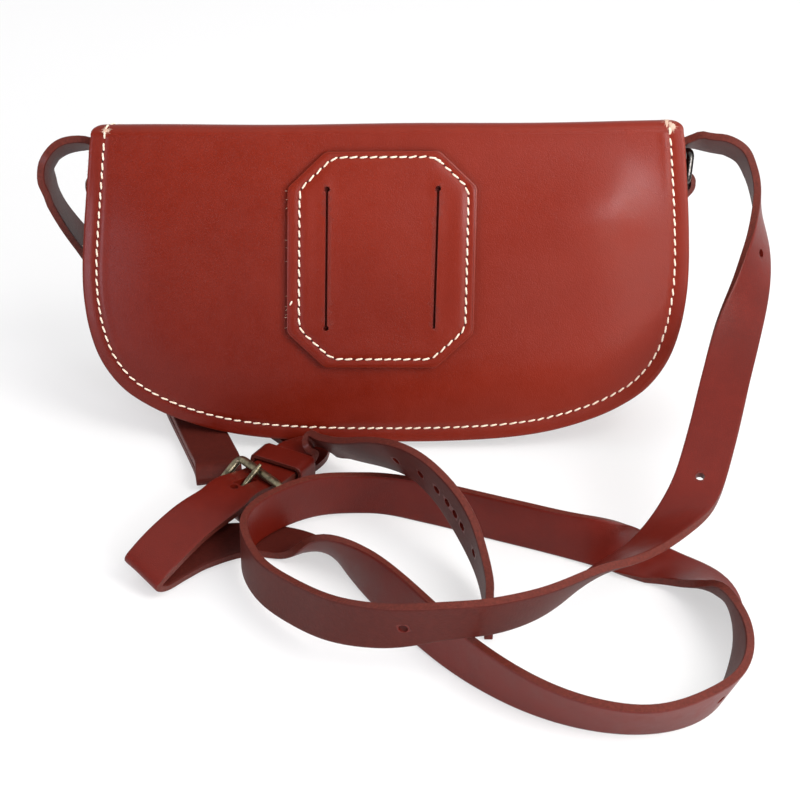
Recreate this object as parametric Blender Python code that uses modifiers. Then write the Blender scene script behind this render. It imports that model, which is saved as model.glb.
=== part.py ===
"""Leather belt and shoulder bag seen from its back, with the strap lying in loops on the floor before it.

Metres, +Z up, +X to the right of someone who faces the back panel, +Y away from them. The floor is z = 0.
"""
import math

import bmesh
import bpy
import numpy as np
from mathutils import Vector

# Clearances and leathers
GAP = 0.0003
LAY = 0.0005
LEATHER = 0.0028
GUSSET_T = 0.0020
TAB_T = 0.0022
OVERRUN = 0.004

# Back panel
PANEL_W = 0.2514
PANEL_H = 0.1305
PANEL_Y = -0.0380
PANEL_Z = 0.0045
BACK_LEAN = math.radians(17.0)
BACK_BULGE = 0.0030
BULGE_RAMP = 0.042
TOP_RAMP = 0.040

# Front panel
BAG_DEPTH = 0.058
FRONT_Z = 0.0014
FRONT_H = 0.108
FRONT_LEAN = math.radians(5.0)
FRONT_BULGE = 0.0015

# Gusset
RIM_INSET = 0.0006
FLANGE = 0.0085
FOLD_R = 0.0022
WEB_LOW_INSET = 0.0052
WEB_HIGH_INSET = 0.0040
GUSSET_TOP_DROP = 0.0050

# Flap
FLAP_W = 0.2310
FOLD_OUTER_R = 0.0042
FLAP_CLEAR = 0.0008
FLAP_DROP = 0.0860
FLAP_CORNER = 0.0420
FLAP_WIDEN = 0.0040

# Belt patch
PATCH_W = 0.0775
PATCH_H = 0.0885
PATCH_X = -0.0018
PATCH_DROP = 0.0529
PATCH_V = PANEL_H - PATCH_DROP
PATCH_T = 0.0026
PATCH_CHAMFER_X = 0.0155
PATCH_CHAMFER_V = 0.0145
SLIT_SPACING = 0.0450
SLIT_W = 0.0010
SLIT_RISE = 0.0292
SLIT_FALL = 0.0276
SLIT_TOP_V = PATCH_V + SLIT_RISE
SLIT_LOW_V = PATCH_V - SLIT_FALL
SLIT_HOLE_D = 0.0022

# Seams
THREAD_D = 0.0009
SEAM_INSET = 0.0060
PATCH_SEAM_INSET = 0.0042
SEAM_TOP_DROP = 0.0030

# Ring hardware, built on the right and mirrored to the left
RING_Y = 0.0120
RING_Z = 0.1010
RING_TILT = math.radians(26.0)
RING_LEAN = math.radians(12.0)
RING_WIRE = 0.0032
RING_HALF_W = 0.0130
RING_LEG = 0.0094
RING_RISE = 0.0034
RING_CORNER = 0.0024
TAB_W = 0.0170
TAB_LENGTH = 0.0165
TAB_PIN_D = 0.0024
TAB_CAP_D = 0.0066
TAB_CAP_H = 0.0013
TAB_PIN_DROP = 0.0115

# Straps
STRAP_W = 0.0190
STRAP_T = 0.0032
STRAP_HOLE_D = 0.0035
PRONG_SLOT = 0.0098
STATION = 0.0080
STATION_TURN = math.radians(13.0)

# Buckle
BAR_D = 0.0032
BUCKLE_W = 0.0300
BUCKLE_LENGTH = 0.0120
BUCKLE_X = -0.0492
BUCKLE_Y = -0.0787
BUCKLE_TOP_Z = 0.0147
BUCKLE_HEEL_Z = 0.0054
BUCKLE_YAW = math.radians(39.0)
PRONG_D = 0.0022
PRONG_CLEAR = 0.0004
PRONG_EYE_W = 0.0030
PRONG_OVERHANG = 0.0024
PRONG_EYE_START = math.radians(20.0)
PRONG_EYE_SWEEP = math.radians(232.0)

# Keeper
KEEPER_X = -0.0416
KEEPER_Y = -0.0627
KEEPER_LOW_Z = 0.0018
KEEPER_HIGH_Z = 0.0124
KEEPER_YAW = math.radians(60.0)
KEEPER_T = 0.0018
KEEPER_W = 0.0110
KEEPER_SIDE_CLEAR = 0.0012

# Closure stud
STUD_V = 0.0470
STUD_BALL_D = 0.0070
STUD_NECK_D = 0.0036
STUD_BASE_D = 0.0090
STUD_BASE_H = 0.0008
SCREW_HEAD_D = 0.0080
SCREW_HEAD_H = 0.0012
KEYHOLE_W = 0.0084
KEYHOLE_H = 0.0150

# Half outline of a body panel, from the middle of the bottom edge round to the top: shares of half width, height
PANEL_OUTLINE_SHARES = (
    (0.00, 0.000), (0.20, 0.002), (0.40, 0.013), (0.56, 0.037), (0.705, 0.080), (0.81, 0.130), (0.885, 0.186),
    (0.945, 0.268), (0.980, 0.365), (0.997, 0.470), (1.000, 0.570), (0.993, 0.690), (0.983, 0.800),
    (0.974, 0.890), (0.966, 0.950), (0.950, 0.985), (0.925, 1.000),
)
PANEL_RING_SHARES = (1.0, 0.95, 0.88, 0.78, 0.62, 0.40, 0.18)
PANEL_CENTRE_SHARE = 0.60
WEB_SECTION_SHARES = (0.0, 0.25, 0.5, 0.75, 1.0)

# Strap routes: centre point, then the direction across the strap from its first edge to its second
LONG_ROUTE = (
    # turned end under the ring's arc, up round it and over
    (0.1332, 0.0142, 0.1104, 0.00, 0.80, -0.60), (0.1298, 0.0149, 0.1072, 0.00, 0.88, -0.47),
    (0.1268, 0.0153, 0.1077, 0.00, 0.90, -0.44), (0.1249, 0.0170, 0.1114, 0.00, 0.90, -0.44),
    (0.1270, 0.0186, 0.1152, 0.00, 0.90, -0.44), (0.1315, 0.0180, 0.1179, 0.00, 0.85, -0.53),
    (0.1370, 0.0160, 0.1194, 0.00, 0.75, -0.66), (0.1430, 0.0130, 0.1174, 0.00, 0.70, -0.71),
    (0.1480, 0.0105, 0.1130, 0.05, 0.72, -0.69), (0.1525, 0.0060, 0.1050, 0.10, 0.80, -0.60),
    (0.1540, -0.0020, 0.0970, 0.15, 0.85, -0.50), (0.1545, -0.0140, 0.0875, 0.50, 0.80, -0.37),
    (0.1515, -0.0235, 0.0800, 0.68, 0.70, -0.20), (0.1483, -0.0335, 0.0725, 0.82, 0.48, -0.31),
    (0.1425, -0.0480, 0.0645, 0.95, 0.20, -0.25), (0.1365, -0.0660, 0.0570, 0.95, -0.25, -0.15),
    (0.1313, -0.0825, 0.0500, 0.97, -0.20, 0.00), (0.1258, -0.0990, 0.0415, 0.94, -0.30, -0.10),
    (0.1175, -0.1195, 0.0315, 0.92, -0.35, -0.05), (0.1065, -0.1360, 0.0276, 0.67, -0.69, 0.27),
    (0.0930, -0.1500, 0.0254, 0.46, -0.77, 0.44), (0.0807, -0.1595, 0.0254, 0.12, -0.85, 0.51),
    (0.0727, -0.1685, 0.0264, -0.14, -0.75, 0.65), (0.0608, -0.1803, 0.0276, -0.15, -0.65, 0.75),
    (0.0503, -0.1887, 0.0289, -0.11, -0.49, 0.86), (0.0360, -0.1960, 0.0304, -0.11, -0.37, 0.92),
    (0.0215, -0.1977, 0.0302, -0.05, -0.31, 0.95), (0.0070, -0.1960, 0.0270, 0.00, -0.21, 0.98),
    (-0.0046, -0.1914, 0.0239, 0.00, -0.14, 0.99), (-0.0170, -0.1834, 0.0205, 0.00, -0.08, 1.00),
    (-0.0297, -0.1697, 0.0164, 0.00, 0.00, 1.00), (-0.0433, -0.1524, 0.0136, 0.00, 0.00, 1.00),
    (-0.0502, -0.1374, 0.0134, 0.03, 0.00, 1.00), (-0.0525, -0.1260, 0.0136, 0.00, -0.05, 1.00),
    (-0.0510, -0.1160, 0.0138, 0.00, -0.10, 1.00), (-0.0450, -0.1070, 0.0139, 0.00, -0.10, 1.00),
    (-0.0370, -0.1000, 0.0139, 0.00, -0.10, 1.00), (-0.0290, -0.0940, 0.0134, 0.00, -0.10, 1.00),
    (-0.0200, -0.0885, 0.0112, 0.00, -0.14, 0.99), (-0.0100, -0.0860, 0.0099, 0.00, -0.10, 0.99),
    (0.0010, -0.0868, 0.0098, 0.00, -0.10, 0.99), (0.0145, -0.0910, 0.0098, 0.00, 0.00, 1.00),
    (0.0285, -0.0968, 0.0098, 0.00, 0.00, 1.00), (0.0420, -0.1030, 0.0098, 0.00, 0.03, 1.00),
    (0.0570, -0.1095, 0.0098, 0.00, 0.05, 1.00), (0.0715, -0.1160, 0.0097, 0.00, 0.10, 0.99),
    (0.0830, -0.1205, 0.0093, 0.08, 0.30, 0.95), (0.0930, -0.1225, 0.0070, 0.20, 0.65, 0.73),
    (0.1030, -0.1235, 0.0042, 0.39, 0.90, 0.20), (0.1140, -0.1275, 0.0036, 0.40, 0.90, -0.12),
    (0.1225, -0.1370, 0.0062, 0.45, 0.75, -0.48), (0.1265, -0.1510, 0.0084, 0.20, 0.55, -0.80),
    (0.1276, -0.1680, 0.0095, -0.02, 0.20, -0.97), (0.1266, -0.1840, 0.0098, -0.20, 0.05, -0.97),
    (0.1240, -0.1960, 0.0097, -0.35, 0.10, -0.93), (0.1185, -0.2080, 0.0096, -0.30, 0.30, -0.90),
    (0.1100, -0.2165, 0.0095, -0.05, 0.42, -0.90), (0.0990, -0.2225, 0.0093, 0.10, 0.47, -0.87),
    (0.0880, -0.2247, 0.0093, 0.11, 0.45, -0.87), (0.0770, -0.2236, 0.0094, 0.09, 0.41, -0.90),
    (0.0660, -0.2202, 0.0094, 0.07, 0.36, -0.93), (0.0550, -0.2144, 0.0095, 0.02, 0.30, -0.95),
    (0.0440, -0.2060, 0.0096, -0.08, 0.26, -0.96), (0.0335, -0.1955, 0.0095, -0.20, 0.26, -0.94),
    (0.0240, -0.1840, 0.0092, -0.33, 0.29, -0.88), (0.0130, -0.1680, 0.0088, -0.45, 0.34, -0.83),
    (0.0020, -0.1515, 0.0082, -0.48, 0.42, -0.76), (-0.0080, -0.1375, 0.0080, -0.38, 0.50, -0.77),
    (-0.0175, -0.1270, 0.0074, -0.22, 0.66, -0.70), (-0.0270, -0.1175, 0.0048, -0.08, 0.88, -0.42),
    (-0.0370, -0.1110, 0.0022, 0.00, 1.00, -0.05), (-0.0480, -0.1075, 0.0020, -0.20, 0.98, 0.00),
    (-0.0580, -0.1090, 0.0028, -0.45, 0.88, 0.10), (-0.0660, -0.1140, 0.0042, -0.58, 0.78, 0.22),
    (-0.0730, -0.1190, 0.0049, -0.63, 0.72, 0.28), (-0.0800, -0.1275, 0.0050, -0.67, 0.69, 0.28),
    (-0.0860, -0.1355, 0.0056, -0.69, 0.67, 0.28), (-0.0895, -0.1390, 0.0090, -0.69, 0.66, 0.28),
    (-0.0870, -0.1335, 0.0126, -0.70, 0.66, 0.26), (-0.0800, -0.1235, 0.0146, -0.70, 0.66, 0.25),
    (-0.0720, -0.1130, 0.0156, -0.72, 0.66, 0.22), (-0.0640, -0.1010, 0.0152, -0.74, 0.66, 0.15),
    (-0.0594, -0.0905, 0.0141, -0.75, 0.66, 0.07), (-0.0545, -0.0829, 0.0122, -0.78, 0.63, 0.00),
    (-0.0488, -0.0749, 0.0098, -0.80, 0.60, 0.00), (-0.0435, -0.0660, 0.0090, -0.80, 0.60, 0.00),
    (-0.0395, -0.0592, 0.0090, -0.80, 0.60, 0.00), (-0.0355, -0.0538, 0.0093, -0.80, 0.60, -0.05),
    (-0.0310, -0.0506, 0.0108, -0.60, 0.70, -0.40), (-0.0260, -0.0523, 0.0126, -0.25, 0.75, -0.62),
    (-0.0195, -0.0600, 0.0155, 0.10, 0.73, -0.68), (-0.0120, -0.0695, 0.0195, 0.27, 0.60, -0.75),
    (-0.0025, -0.0805, 0.0252, 0.30, 0.45, -0.84), (0.0070, -0.0925, 0.0299, 0.28, 0.33, -0.90),
    (0.0155, -0.1038, 0.0310, 0.18, 0.22, -0.96), (0.0225, -0.1135, 0.0289, 0.15, 0.10, -0.98),
    (0.0285, -0.1225, 0.0248, 0.15, -0.10, -0.98), (0.0335, -0.1320, 0.0194, 0.12, -0.15, -0.98),
    (0.0370, -0.1425, 0.0144, 0.08, -0.10, -0.99), (0.0388, -0.1560, 0.0112, 0.00, 0.00, -1.00),
    (0.0385, -0.1700, 0.0099, 0.00, 0.00, -1.00),
)
SHORT_ROUTE = (
    (-0.1332, 0.0142, 0.1104, 0.00, 0.80, -0.60), (-0.1298, 0.0149, 0.1072, 0.00, 0.88, -0.47),
    (-0.1268, 0.0153, 0.1077, 0.00, 0.90, -0.44), (-0.1249, 0.0170, 0.1114, 0.00, 0.90, -0.44),
    (-0.1270, 0.0186, 0.1152, 0.00, 0.90, -0.44), (-0.1315, 0.0180, 0.1178, 0.00, 0.85, -0.53),
    (-0.1370, 0.0162, 0.1186, 0.00, 0.80, -0.60), (-0.1420, 0.0140, 0.1140, 0.15, 0.80, -0.57),
    (-0.1435, 0.0140, 0.1050, 0.25, 0.83, -0.48), (-0.1415, 0.0155, 0.0960, 0.33, 0.84, -0.42),
    (-0.1385, 0.0205, 0.0820, 0.38, 0.83, -0.40), (-0.1330, 0.0280, 0.0690, 0.45, 0.80, -0.38),
    (-0.1260, 0.0345, 0.0540, 0.55, 0.75, -0.35), (-0.1185, 0.0390, 0.0380, 0.65, 0.70, -0.28),
    (-0.1100, 0.0380, 0.0240, 0.78, 0.60, -0.15), (-0.1030, 0.0300, 0.0118, 0.90, 0.42, -0.08),
    (-0.0955, 0.0140, 0.0066, 0.94, 0.33, 0.00), (-0.0860, -0.0080, 0.0059, 0.94, 0.33, 0.00),
    (-0.0785, -0.0290, 0.0056, 0.94, 0.33, 0.00), (-0.0725, -0.0460, 0.0056, 0.95, 0.30, 0.00),
    (-0.0696, -0.0550, 0.0064, 0.96, 0.25, 0.00), (-0.0682, -0.0620, 0.0074, 0.97, 0.20, 0.00),
    (-0.0675, -0.0675, 0.0049, 0.97, 0.20, 0.00), (-0.0682, -0.0620, 0.0023, 0.97, 0.20, 0.00),
    (-0.0696, -0.0550, 0.0019, 0.96, 0.25, 0.00), (-0.0725, -0.0460, 0.0019, 0.95, 0.30, 0.00),
    (-0.0785, -0.0290, 0.0019, 0.94, 0.33, 0.00), (-0.0860, -0.0080, 0.0019, 0.94, 0.33, 0.00),
    (-0.0925, 0.0120, 0.0019, 0.96, 0.25, 0.00), (-0.0965, 0.0280, 0.0024, 0.97, 0.10, 0.20),
    (-0.0975, 0.0430, 0.0065, 0.75, -0.10, 0.62), (-0.0930, 0.0560, 0.0096, 0.35, -0.15, 0.93),
    (-0.0830, 0.0630, 0.0100, 0.05, 0.00, 1.00), (-0.0720, 0.0600, 0.0100, 0.00, 0.05, 1.00),
    (-0.0675, 0.0500, 0.0090, -0.30, 0.10, 0.93), (-0.0665, 0.0380, 0.0046, -0.85, 0.00, 0.50),
    (-0.0695, 0.0260, 0.0020, -0.98, -0.10, 0.04), (-0.0668, 0.0110, 0.0019, -0.93, -0.35, 0.00),
    (-0.0560, -0.0070, 0.0019, -0.80, -0.60, 0.00), (-0.0420, -0.0220, 0.0019, -0.80, -0.60, 0.00),
    (-0.0335, -0.0340, 0.0019, -0.95, -0.30, 0.00), (-0.0330, -0.0440, 0.0024, -1.00, 0.10, 0.00),
    (-0.0355, -0.0520, 0.0040, -0.85, 0.52, 0.00), (-0.0395, -0.0592, 0.0052, -0.80, 0.60, 0.00),
    (-0.0435, -0.0660, 0.0054, -0.80, 0.60, 0.00), (-0.0475, -0.0738, 0.0059, -0.75, 0.66, 0.00),
    (-0.0520, -0.0800, 0.0072, -0.66, 0.75, 0.00), (-0.0570, -0.0848, 0.0087, -0.63, 0.78, 0.00),
    (-0.0608, -0.0879, 0.0083, -0.63, 0.78, 0.00), (-0.0620, -0.0890, 0.0054, -0.63, 0.78, 0.00),
    (-0.0606, -0.0878, 0.0025, -0.63, 0.78, 0.00), (-0.0570, -0.0848, 0.0019, -0.63, 0.78, 0.00),
    (-0.0520, -0.0806, 0.0019, -0.65, 0.76, 0.00),
)
# Distances along the long strap of its punched holes
LONG_HOLES = (0.0909, 0.2028, 0.3527, 0.7356, 1.0670, 1.1760, 1.1921, 1.2028, 1.2101, 1.2159, 1.2218, 1.2339)
PRONG_HOLE_AT = 1.0747


def make_collection(name, parent):
    """A collection for the parts or for the cutters."""
    collection = bpy.data.collections.new(name)
    parent.children.link(collection)
    return collection


for old in list(bpy.data.objects):
    bpy.data.objects.remove(old, do_unlink=True)
PARTS = make_collection("belt_bag", bpy.context.scene.collection)
CUTTERS = make_collection("cutters", bpy.context.scene.collection)


def material(name, colour, roughness, metallic=0.0):
    """A Principled material."""
    made = bpy.data.materials.new(name)
    made.use_nodes = True
    shader = made.node_tree.nodes["Principled BSDF"]
    shader.inputs["Base Color"].default_value = (*colour, 1.0)
    shader.inputs["Roughness"].default_value = roughness
    shader.inputs["Metallic"].default_value = metallic
    return made


PANEL_LEATHER = material("panel_leather", (0.26, 0.045, 0.020), 0.36)
STRAP_LEATHER = material("strap_leather", (0.19, 0.032, 0.022), 0.42)
THREAD = material("linen_thread", (0.86, 0.74, 0.58), 0.75)
DARK_METAL = material("dark_ring_metal", (0.06, 0.055, 0.05), 0.28, 1.0)
BRASS = material("aged_brass", (0.30, 0.25, 0.15), 0.36, 1.0)


def place(name, mesh, finish, location=(0, 0, 0), smooth=True):
    """Make a named part from a mesh whose vertices are relative to the location."""
    made = bpy.data.objects.new(name, mesh)
    made.location = location
    PARTS.objects.link(made)
    mesh.materials.clear()
    mesh.materials.append(finish)
    if smooth:
        mesh.shade_smooth()
        mesh.set_sharp_from_angle(angle=math.radians(38.0))
    return made


def loft(name, rows, closed=False):
    """A mesh surface through rows of points; closed joins the last row to the first."""
    rows = np.asarray(rows, float)
    count, width = rows.shape[:2]
    points = rows.reshape(count * width, len(rows[0][0]))
    faces = []
    for i in range(count if closed else count - 1):
        j = (i + 1) % count
        for k in range(width - 1):
            faces.append((i * width + k, i * width + k + 1, j * width + k + 1, j * width + k))
    mesh = bpy.data.meshes.new(name)
    mesh.from_pydata([tuple(p) for p in points], [], faces)
    return mesh


def thicken(obj, thickness, offset):
    """Turn a surface into leather of an even thickness."""
    solid = obj.modifiers.new("thickness", "SOLIDIFY")
    solid.thickness = thickness
    solid.offset = offset
    solid.use_even_offset = True
    solid.use_quality_normals = True
    return solid


def catmull(points, steps):
    """A smooth curve through every point, with the given steps from each to the next."""
    p = np.asarray(points, float)
    p = np.vstack([2 * p[0] - p[1], p, 2 * p[-1] - p[-2]])
    out = []
    for a, b, c, d in zip(p, p[1:], p[2:], p[3:]):
        for k in range(steps):
            t = k / steps
            out.append(((2 * b) + (c - a) * t + (2 * a - 5 * b + 4 * c - d) * t ** 2
                        + (3 * b - a - 3 * c + d) * t ** 3) / 2)
    out.append(p[-2])
    return np.array(out)


def unit(vectors):
    """Unit vectors along the last axis."""
    v = np.asarray(vectors, float)
    return v / np.linalg.norm(v, axis=-1, keepdims=True)


def tube(name, points, diameter, finish, cyclic=False, sides=2, location=(0, 0, 0)):
    """A round wire along points, as a POLY curve with filled caps, made into a mesh."""
    curve = bpy.data.curves.new(name, "CURVE")
    curve.dimensions = "3D"
    curve.bevel_depth = diameter / 2
    curve.bevel_resolution = sides
    curve.use_fill_caps = True
    spline = curve.splines.new("POLY")
    spline.points.add(len(points) - 1)
    for knot, point in zip(spline.points, points):
        knot.co = (*point, 1.0)
    spline.use_cyclic_u = cyclic
    guide = bpy.data.objects.new(name + "_curve", curve)
    PARTS.objects.link(guide)
    evaluated = guide.evaluated_get(bpy.context.evaluated_depsgraph_get())
    mesh = bpy.data.meshes.new_from_object(evaluated)
    weld(mesh)
    bpy.data.objects.remove(guide, do_unlink=True)
    return place(name, mesh, finish, location)


def weld(mesh):
    """Join a mesh's loose caps to it."""
    shape = bmesh.new()
    shape.from_mesh(mesh)
    bmesh.ops.remove_doubles(shape, verts=shape.verts, dist=GAP / 10)
    shape.to_mesh(mesh)
    shape.free()


def turned(name, profile, finish, location, axis, steps=20):
    """A turned piece: the profile's (radius, height) pairs run from top to bottom, round the axis."""
    mesh = bpy.data.meshes.new(name)
    mesh.from_pydata([(r, 0, h) for r, h in profile], [(k, k + 1) for k in range(len(profile) - 1)], [])
    made = place(name, mesh, finish, location, smooth=False)
    made.rotation_mode = "QUATERNION"
    made.rotation_quaternion = Vector(axis).to_track_quat("Z", "Y")
    screw = made.modifiers.new("turn", "SCREW")
    screw.steps = steps
    screw.render_steps = steps
    screw.use_merge_vertices = True
    screw.merge_threshold = GAP / 10
    screw.use_smooth_shade = True
    return made


def cut(obj, cutter):
    """Take the cutter away from the part."""
    boolean = obj.modifiers.new("cut_" + cutter.name, "BOOLEAN")
    boolean.operation = "DIFFERENCE"
    boolean.solver = "EXACT"
    boolean.object = cutter


def cutter_object(name, shape):
    """A hidden cutter from a bmesh."""
    mesh = bpy.data.meshes.new(name)
    shape.to_mesh(mesh)
    shape.free()
    made = bpy.data.objects.new(name, mesh)
    made.display_type = "WIRE"
    made.hide_render = True
    CUTTERS.objects.link(made)
    return made


def add_pin(shape, centre, axis, diameter, length, sides=10):
    """Add a closed cylinder to a bmesh, along the axis and centred on the centre."""
    turn = Vector(axis).to_track_quat("Z", "Y").to_matrix().to_4x4()
    turn.translation = Vector(centre)
    bmesh.ops.create_cone(shape, cap_ends=True, segments=sides, radius1=diameter / 2, radius2=diameter / 2,
                          depth=length, matrix=turn)


def panel_outline(height, steps=2):
    """The panel's U outline in its own plane, from the top right down, round and up to the top left."""
    half = [(x * PANEL_W / 2, v * height) for x, v in PANEL_OUTLINE_SHARES]
    points = half[::-1] + [(-x, v) for x, v in half[1:]]
    return catmull(points, steps)


def outline_normals(points):
    """Unit vectors that point into the panel, one for each outline point."""
    along = unit(np.gradient(points, axis=0))
    return np.stack([along[:, 1], -along[:, 0]], 1)


def edge_distance(points, outline):
    """How far each point lies from the U outline."""
    a, b = outline[:-1], outline[1:]
    ab = b - a
    p = np.atleast_2d(points)[:, None]
    t = np.clip(((p - a) * ab).sum(2) / (ab ** 2).sum(1), 0, 1)
    return np.linalg.norm(p - (a + ab * t[..., None]), axis=2).min(1)


def ease(t):
    """A smooth step from nought to one."""
    t = np.clip(t, 0, 1)
    return t * t * (3 - 2 * t)


class Panel:
    """A body panel: a leaning plane on its outer face, with a slight swell between its seams and top."""

    def __init__(self, height, base_y, base_z, lean, side, bulge):
        self.height = height
        self.base = np.array([0, base_y, base_z])
        self.up = np.array([0, math.sin(lean), math.cos(lean)])
        self.out = np.array([0, side * math.cos(lean), -side * math.sin(lean)])
        self.bulge = bulge
        self.outline = panel_outline(height)

    def swell(self, points):
        """Swell of the outer face at points of the plane."""
        points = np.atleast_2d(points)
        sides = ease(edge_distance(points, self.outline) / BULGE_RAMP)
        return self.bulge * sides * ease((self.height - points[:, 1]) / TOP_RAMP)

    def at(self, points, depth=0.0, follow=True):
        """World places of (x, v) points, the given depth behind the outer face."""
        points = np.atleast_2d(np.asarray(points, float))
        rise = (self.swell(points) if follow else 0) - depth
        across = np.outer(points[:, 0], (1, 0, 0))
        return self.base + across + np.outer(points[:, 1], self.up) + np.outer(np.ones(len(points)) * rise, self.out)

    def sheet(self, name, thickness, finish):
        """The panel itself: rings from the outline to the middle, closed with a fan, then thickened inward."""
        centre = np.array([0, self.height * PANEL_CENTRE_SHARE])
        rings = [centre + (self.outline - centre) * share for share in PANEL_RING_SHARES]
        shape = bmesh.new()
        rows = [[shape.verts.new(p) for p in self.at(ring)] for ring in rings]
        middle = shape.verts.new(self.at(centre)[0])
        count = len(self.outline)
        for outer, inner in zip(rows, rows[1:]):
            for k in range(count):
                shape.faces.new((outer[k], outer[(k + 1) % count], inner[(k + 1) % count], inner[k]))
        for k in range(count):
            shape.faces.new((rows[-1][k], rows[-1][(k + 1) % count], middle))
        bmesh.ops.recalc_face_normals(shape, faces=shape.faces)
        shape.faces.ensure_lookup_table()
        if shape.faces[0].normal.dot(Vector(self.out)) < 0:
            bmesh.ops.reverse_faces(shape, faces=shape.faces)
        mesh = bpy.data.meshes.new(name)
        shape.to_mesh(mesh)
        shape.free()
        made = place(name, mesh, finish)
        thicken(made, thickness, -1)
        return made


BACK = Panel(PANEL_H, PANEL_Y, PANEL_Z, BACK_LEAN, -1, BACK_BULGE)
FRONT = Panel(FRONT_H, PANEL_Y + BAG_DEPTH, FRONT_Z, FRONT_LEAN, 1, FRONT_BULGE)


def build_gusset():
    """The strip sewn between the two panels, with a flange on each side and a web that swells outward."""
    outline = BACK.outline
    inward = outline_normals(outline)
    keep = outline[:, 1] < PANEL_H - GUSSET_TOP_DROP
    depth = LEATHER + GAP + GUSSET_T / 2
    rows = []
    for point, normal in zip(outline[keep], inward[keep]):
        high = ease(point[1] / (PANEL_H / 2))
        low_inset = WEB_LOW_INSET + (WEB_HIGH_INSET - WEB_LOW_INSET) * high
        row = []
        for panel in (BACK, FRONT):
            scale = np.array([1, panel.height / PANEL_H])
            rim = point * scale

            def spot(inset, behind, panel=panel, rim=rim):
                return panel.at(rim + normal * inset, behind, follow=False)[0]

            side = [spot(RIM_INSET, depth), spot(FLANGE - FOLD_R, depth),
                    spot(FLANGE - FOLD_R * math.cos(math.pi / 4) / 2, depth + FOLD_R / 2),
                    spot(FLANGE - FOLD_R / 4, depth + FOLD_R * 1.6)]
            row.append(side)
        back_web, front_web = row[0][-1], row[1][-1]
        out = np.array([-normal[0], 0, -normal[1]])
        swell = FLANGE - FOLD_R / 4 - low_inset
        web = []
        for share in WEB_SECTION_SHARES[1:-1]:
            arch = 1 - (2 * share - 1) ** 2
            web.append(back_web * (1 - share) + front_web * share + out * swell * arch)
        rows.append(row[0] + web + row[1][::-1])
    mesh = loft("gusset", rows)
    made = place("gusset", mesh, PANEL_LEATHER)
    thicken(made, GUSSET_T, 0)
    return made


def flap_profile():
    """The flap's outer line in the YZ plane: over the top of the back panel, across and down to the front fold."""
    start = BACK.at((0, PANEL_H + GAP + LAY))[0][1:]
    up = BACK.up[1:]
    front_out = FRONT.out[1:]
    front_up = FRONT.up[1:]
    drop_line = FRONT.at((0, FRONT_H))[0][1:] + front_out * (FLAP_CLEAR + LEATHER + FRONT_BULGE)
    fold_top = drop_line + front_up * FLAP_CLEAR
    return start, up, fold_top, front_up


def arc_points(start, direction, turn, radius, steps):
    """Points on an arc to the right of the direction in the YZ plane."""
    side = np.array([direction[1], -direction[0]])
    centre = start + side * radius
    points = []
    for k in range(steps + 1):
        a = turn * k / steps
        points.append(centre - side * radius * math.cos(a) + np.asarray(direction) * radius * math.sin(a))
    return points


def bridge_line():
    """Outer line of the flap's top and the place of its front fold."""
    start, up, fold_top, front_up = flap_profile()
    slope = 0.0
    for _ in range(12):
        turn = math.atan2(up[1], up[0]) - slope
        rise = arc_points(start, up, turn, FOLD_OUTER_R, 5)
        run = fold_top - rise[-1]
        slope = math.atan2(run[1], run[0])
        landing = arc_points(np.zeros(2), (math.cos(slope), math.sin(slope)),
                             slope + math.pi - math.atan2(front_up[1], front_up[0]), FOLD_OUTER_R, 3)[-1]
        run = fold_top - landing - rise[-1]
        slope = math.atan2(run[1], run[0])
    turn = math.atan2(up[1], up[0]) - slope
    rise = arc_points(start, up, turn, FOLD_OUTER_R, 5)
    end = fold_top - landing
    return [start - up * LAY] + rise + [rise[-1] + (end - rise[-1]) * 0.5, end]


def spread(line, half_widths, name):
    """A sheet from a line in the YZ plane, with its half width at each point."""
    rows = []
    for (y, z), half in zip(line, half_widths):
        rows.append([(half * s, y, z) for s in np.linspace(1, -1, 9)])
    return loft(name, rows)


def build_flap():
    """The flap in two bodies: the bridge over the top and the drop on the far front, hinged at the fold."""
    line = bridge_line()
    hinge = BACK.at((0, PANEL_H))[0]
    half = FLAP_W / 2
    relative = [(y - hinge[1], z - hinge[2]) for y, z in line]
    top = place("flap_top", spread(relative, [half] * len(line), "flap_top"), PANEL_LEATHER, hinge)
    thicken(top, LEATHER, 1)
    fold = np.array([0, *line[-1]])
    direction = unit(np.array(line[-1]) - np.array(line[-2]))
    slope = math.atan2(direction[1], direction[0])
    turn = slope + math.pi - math.atan2(FRONT.up[2], FRONT.up[1])
    start = np.array(line[-1]) + direction * GAP
    corner = [start] + arc_points(start + direction * LAY, direction, turn, FOLD_OUTER_R, 4)
    down = -FRONT.up[1:]
    drop = corner[:-1] + [corner[-1] + down * FLAP_DROP * s for s in np.linspace(0, 1, 11)]
    widths = []
    for k, _ in enumerate(drop):
        run = max(0, k - len(corner) + 1) / 10
        left = (1 - run) * FLAP_DROP
        inner = max(0, FLAP_CORNER - left)
        widths.append(half + FLAP_WIDEN * ease(run * 2) - FLAP_CORNER
                      + math.sqrt(max(FLAP_CORNER ** 2 - inner ** 2, 0)))
    relative = [(y - fold[1], z - fold[2]) for y, z in drop]
    front = place("flap_front", spread(relative, widths, "flap_front"), PANEL_LEATHER, fold)
    thicken(front, LEATHER, 1)
    stud = Vector(FRONT.at((0, STUD_V))[0] - fold)
    keyhole = cutter_object("keyhole", keyhole_shape(stud))
    keyhole.location = fold
    cut(front, keyhole)
    return hinge, fold


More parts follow.
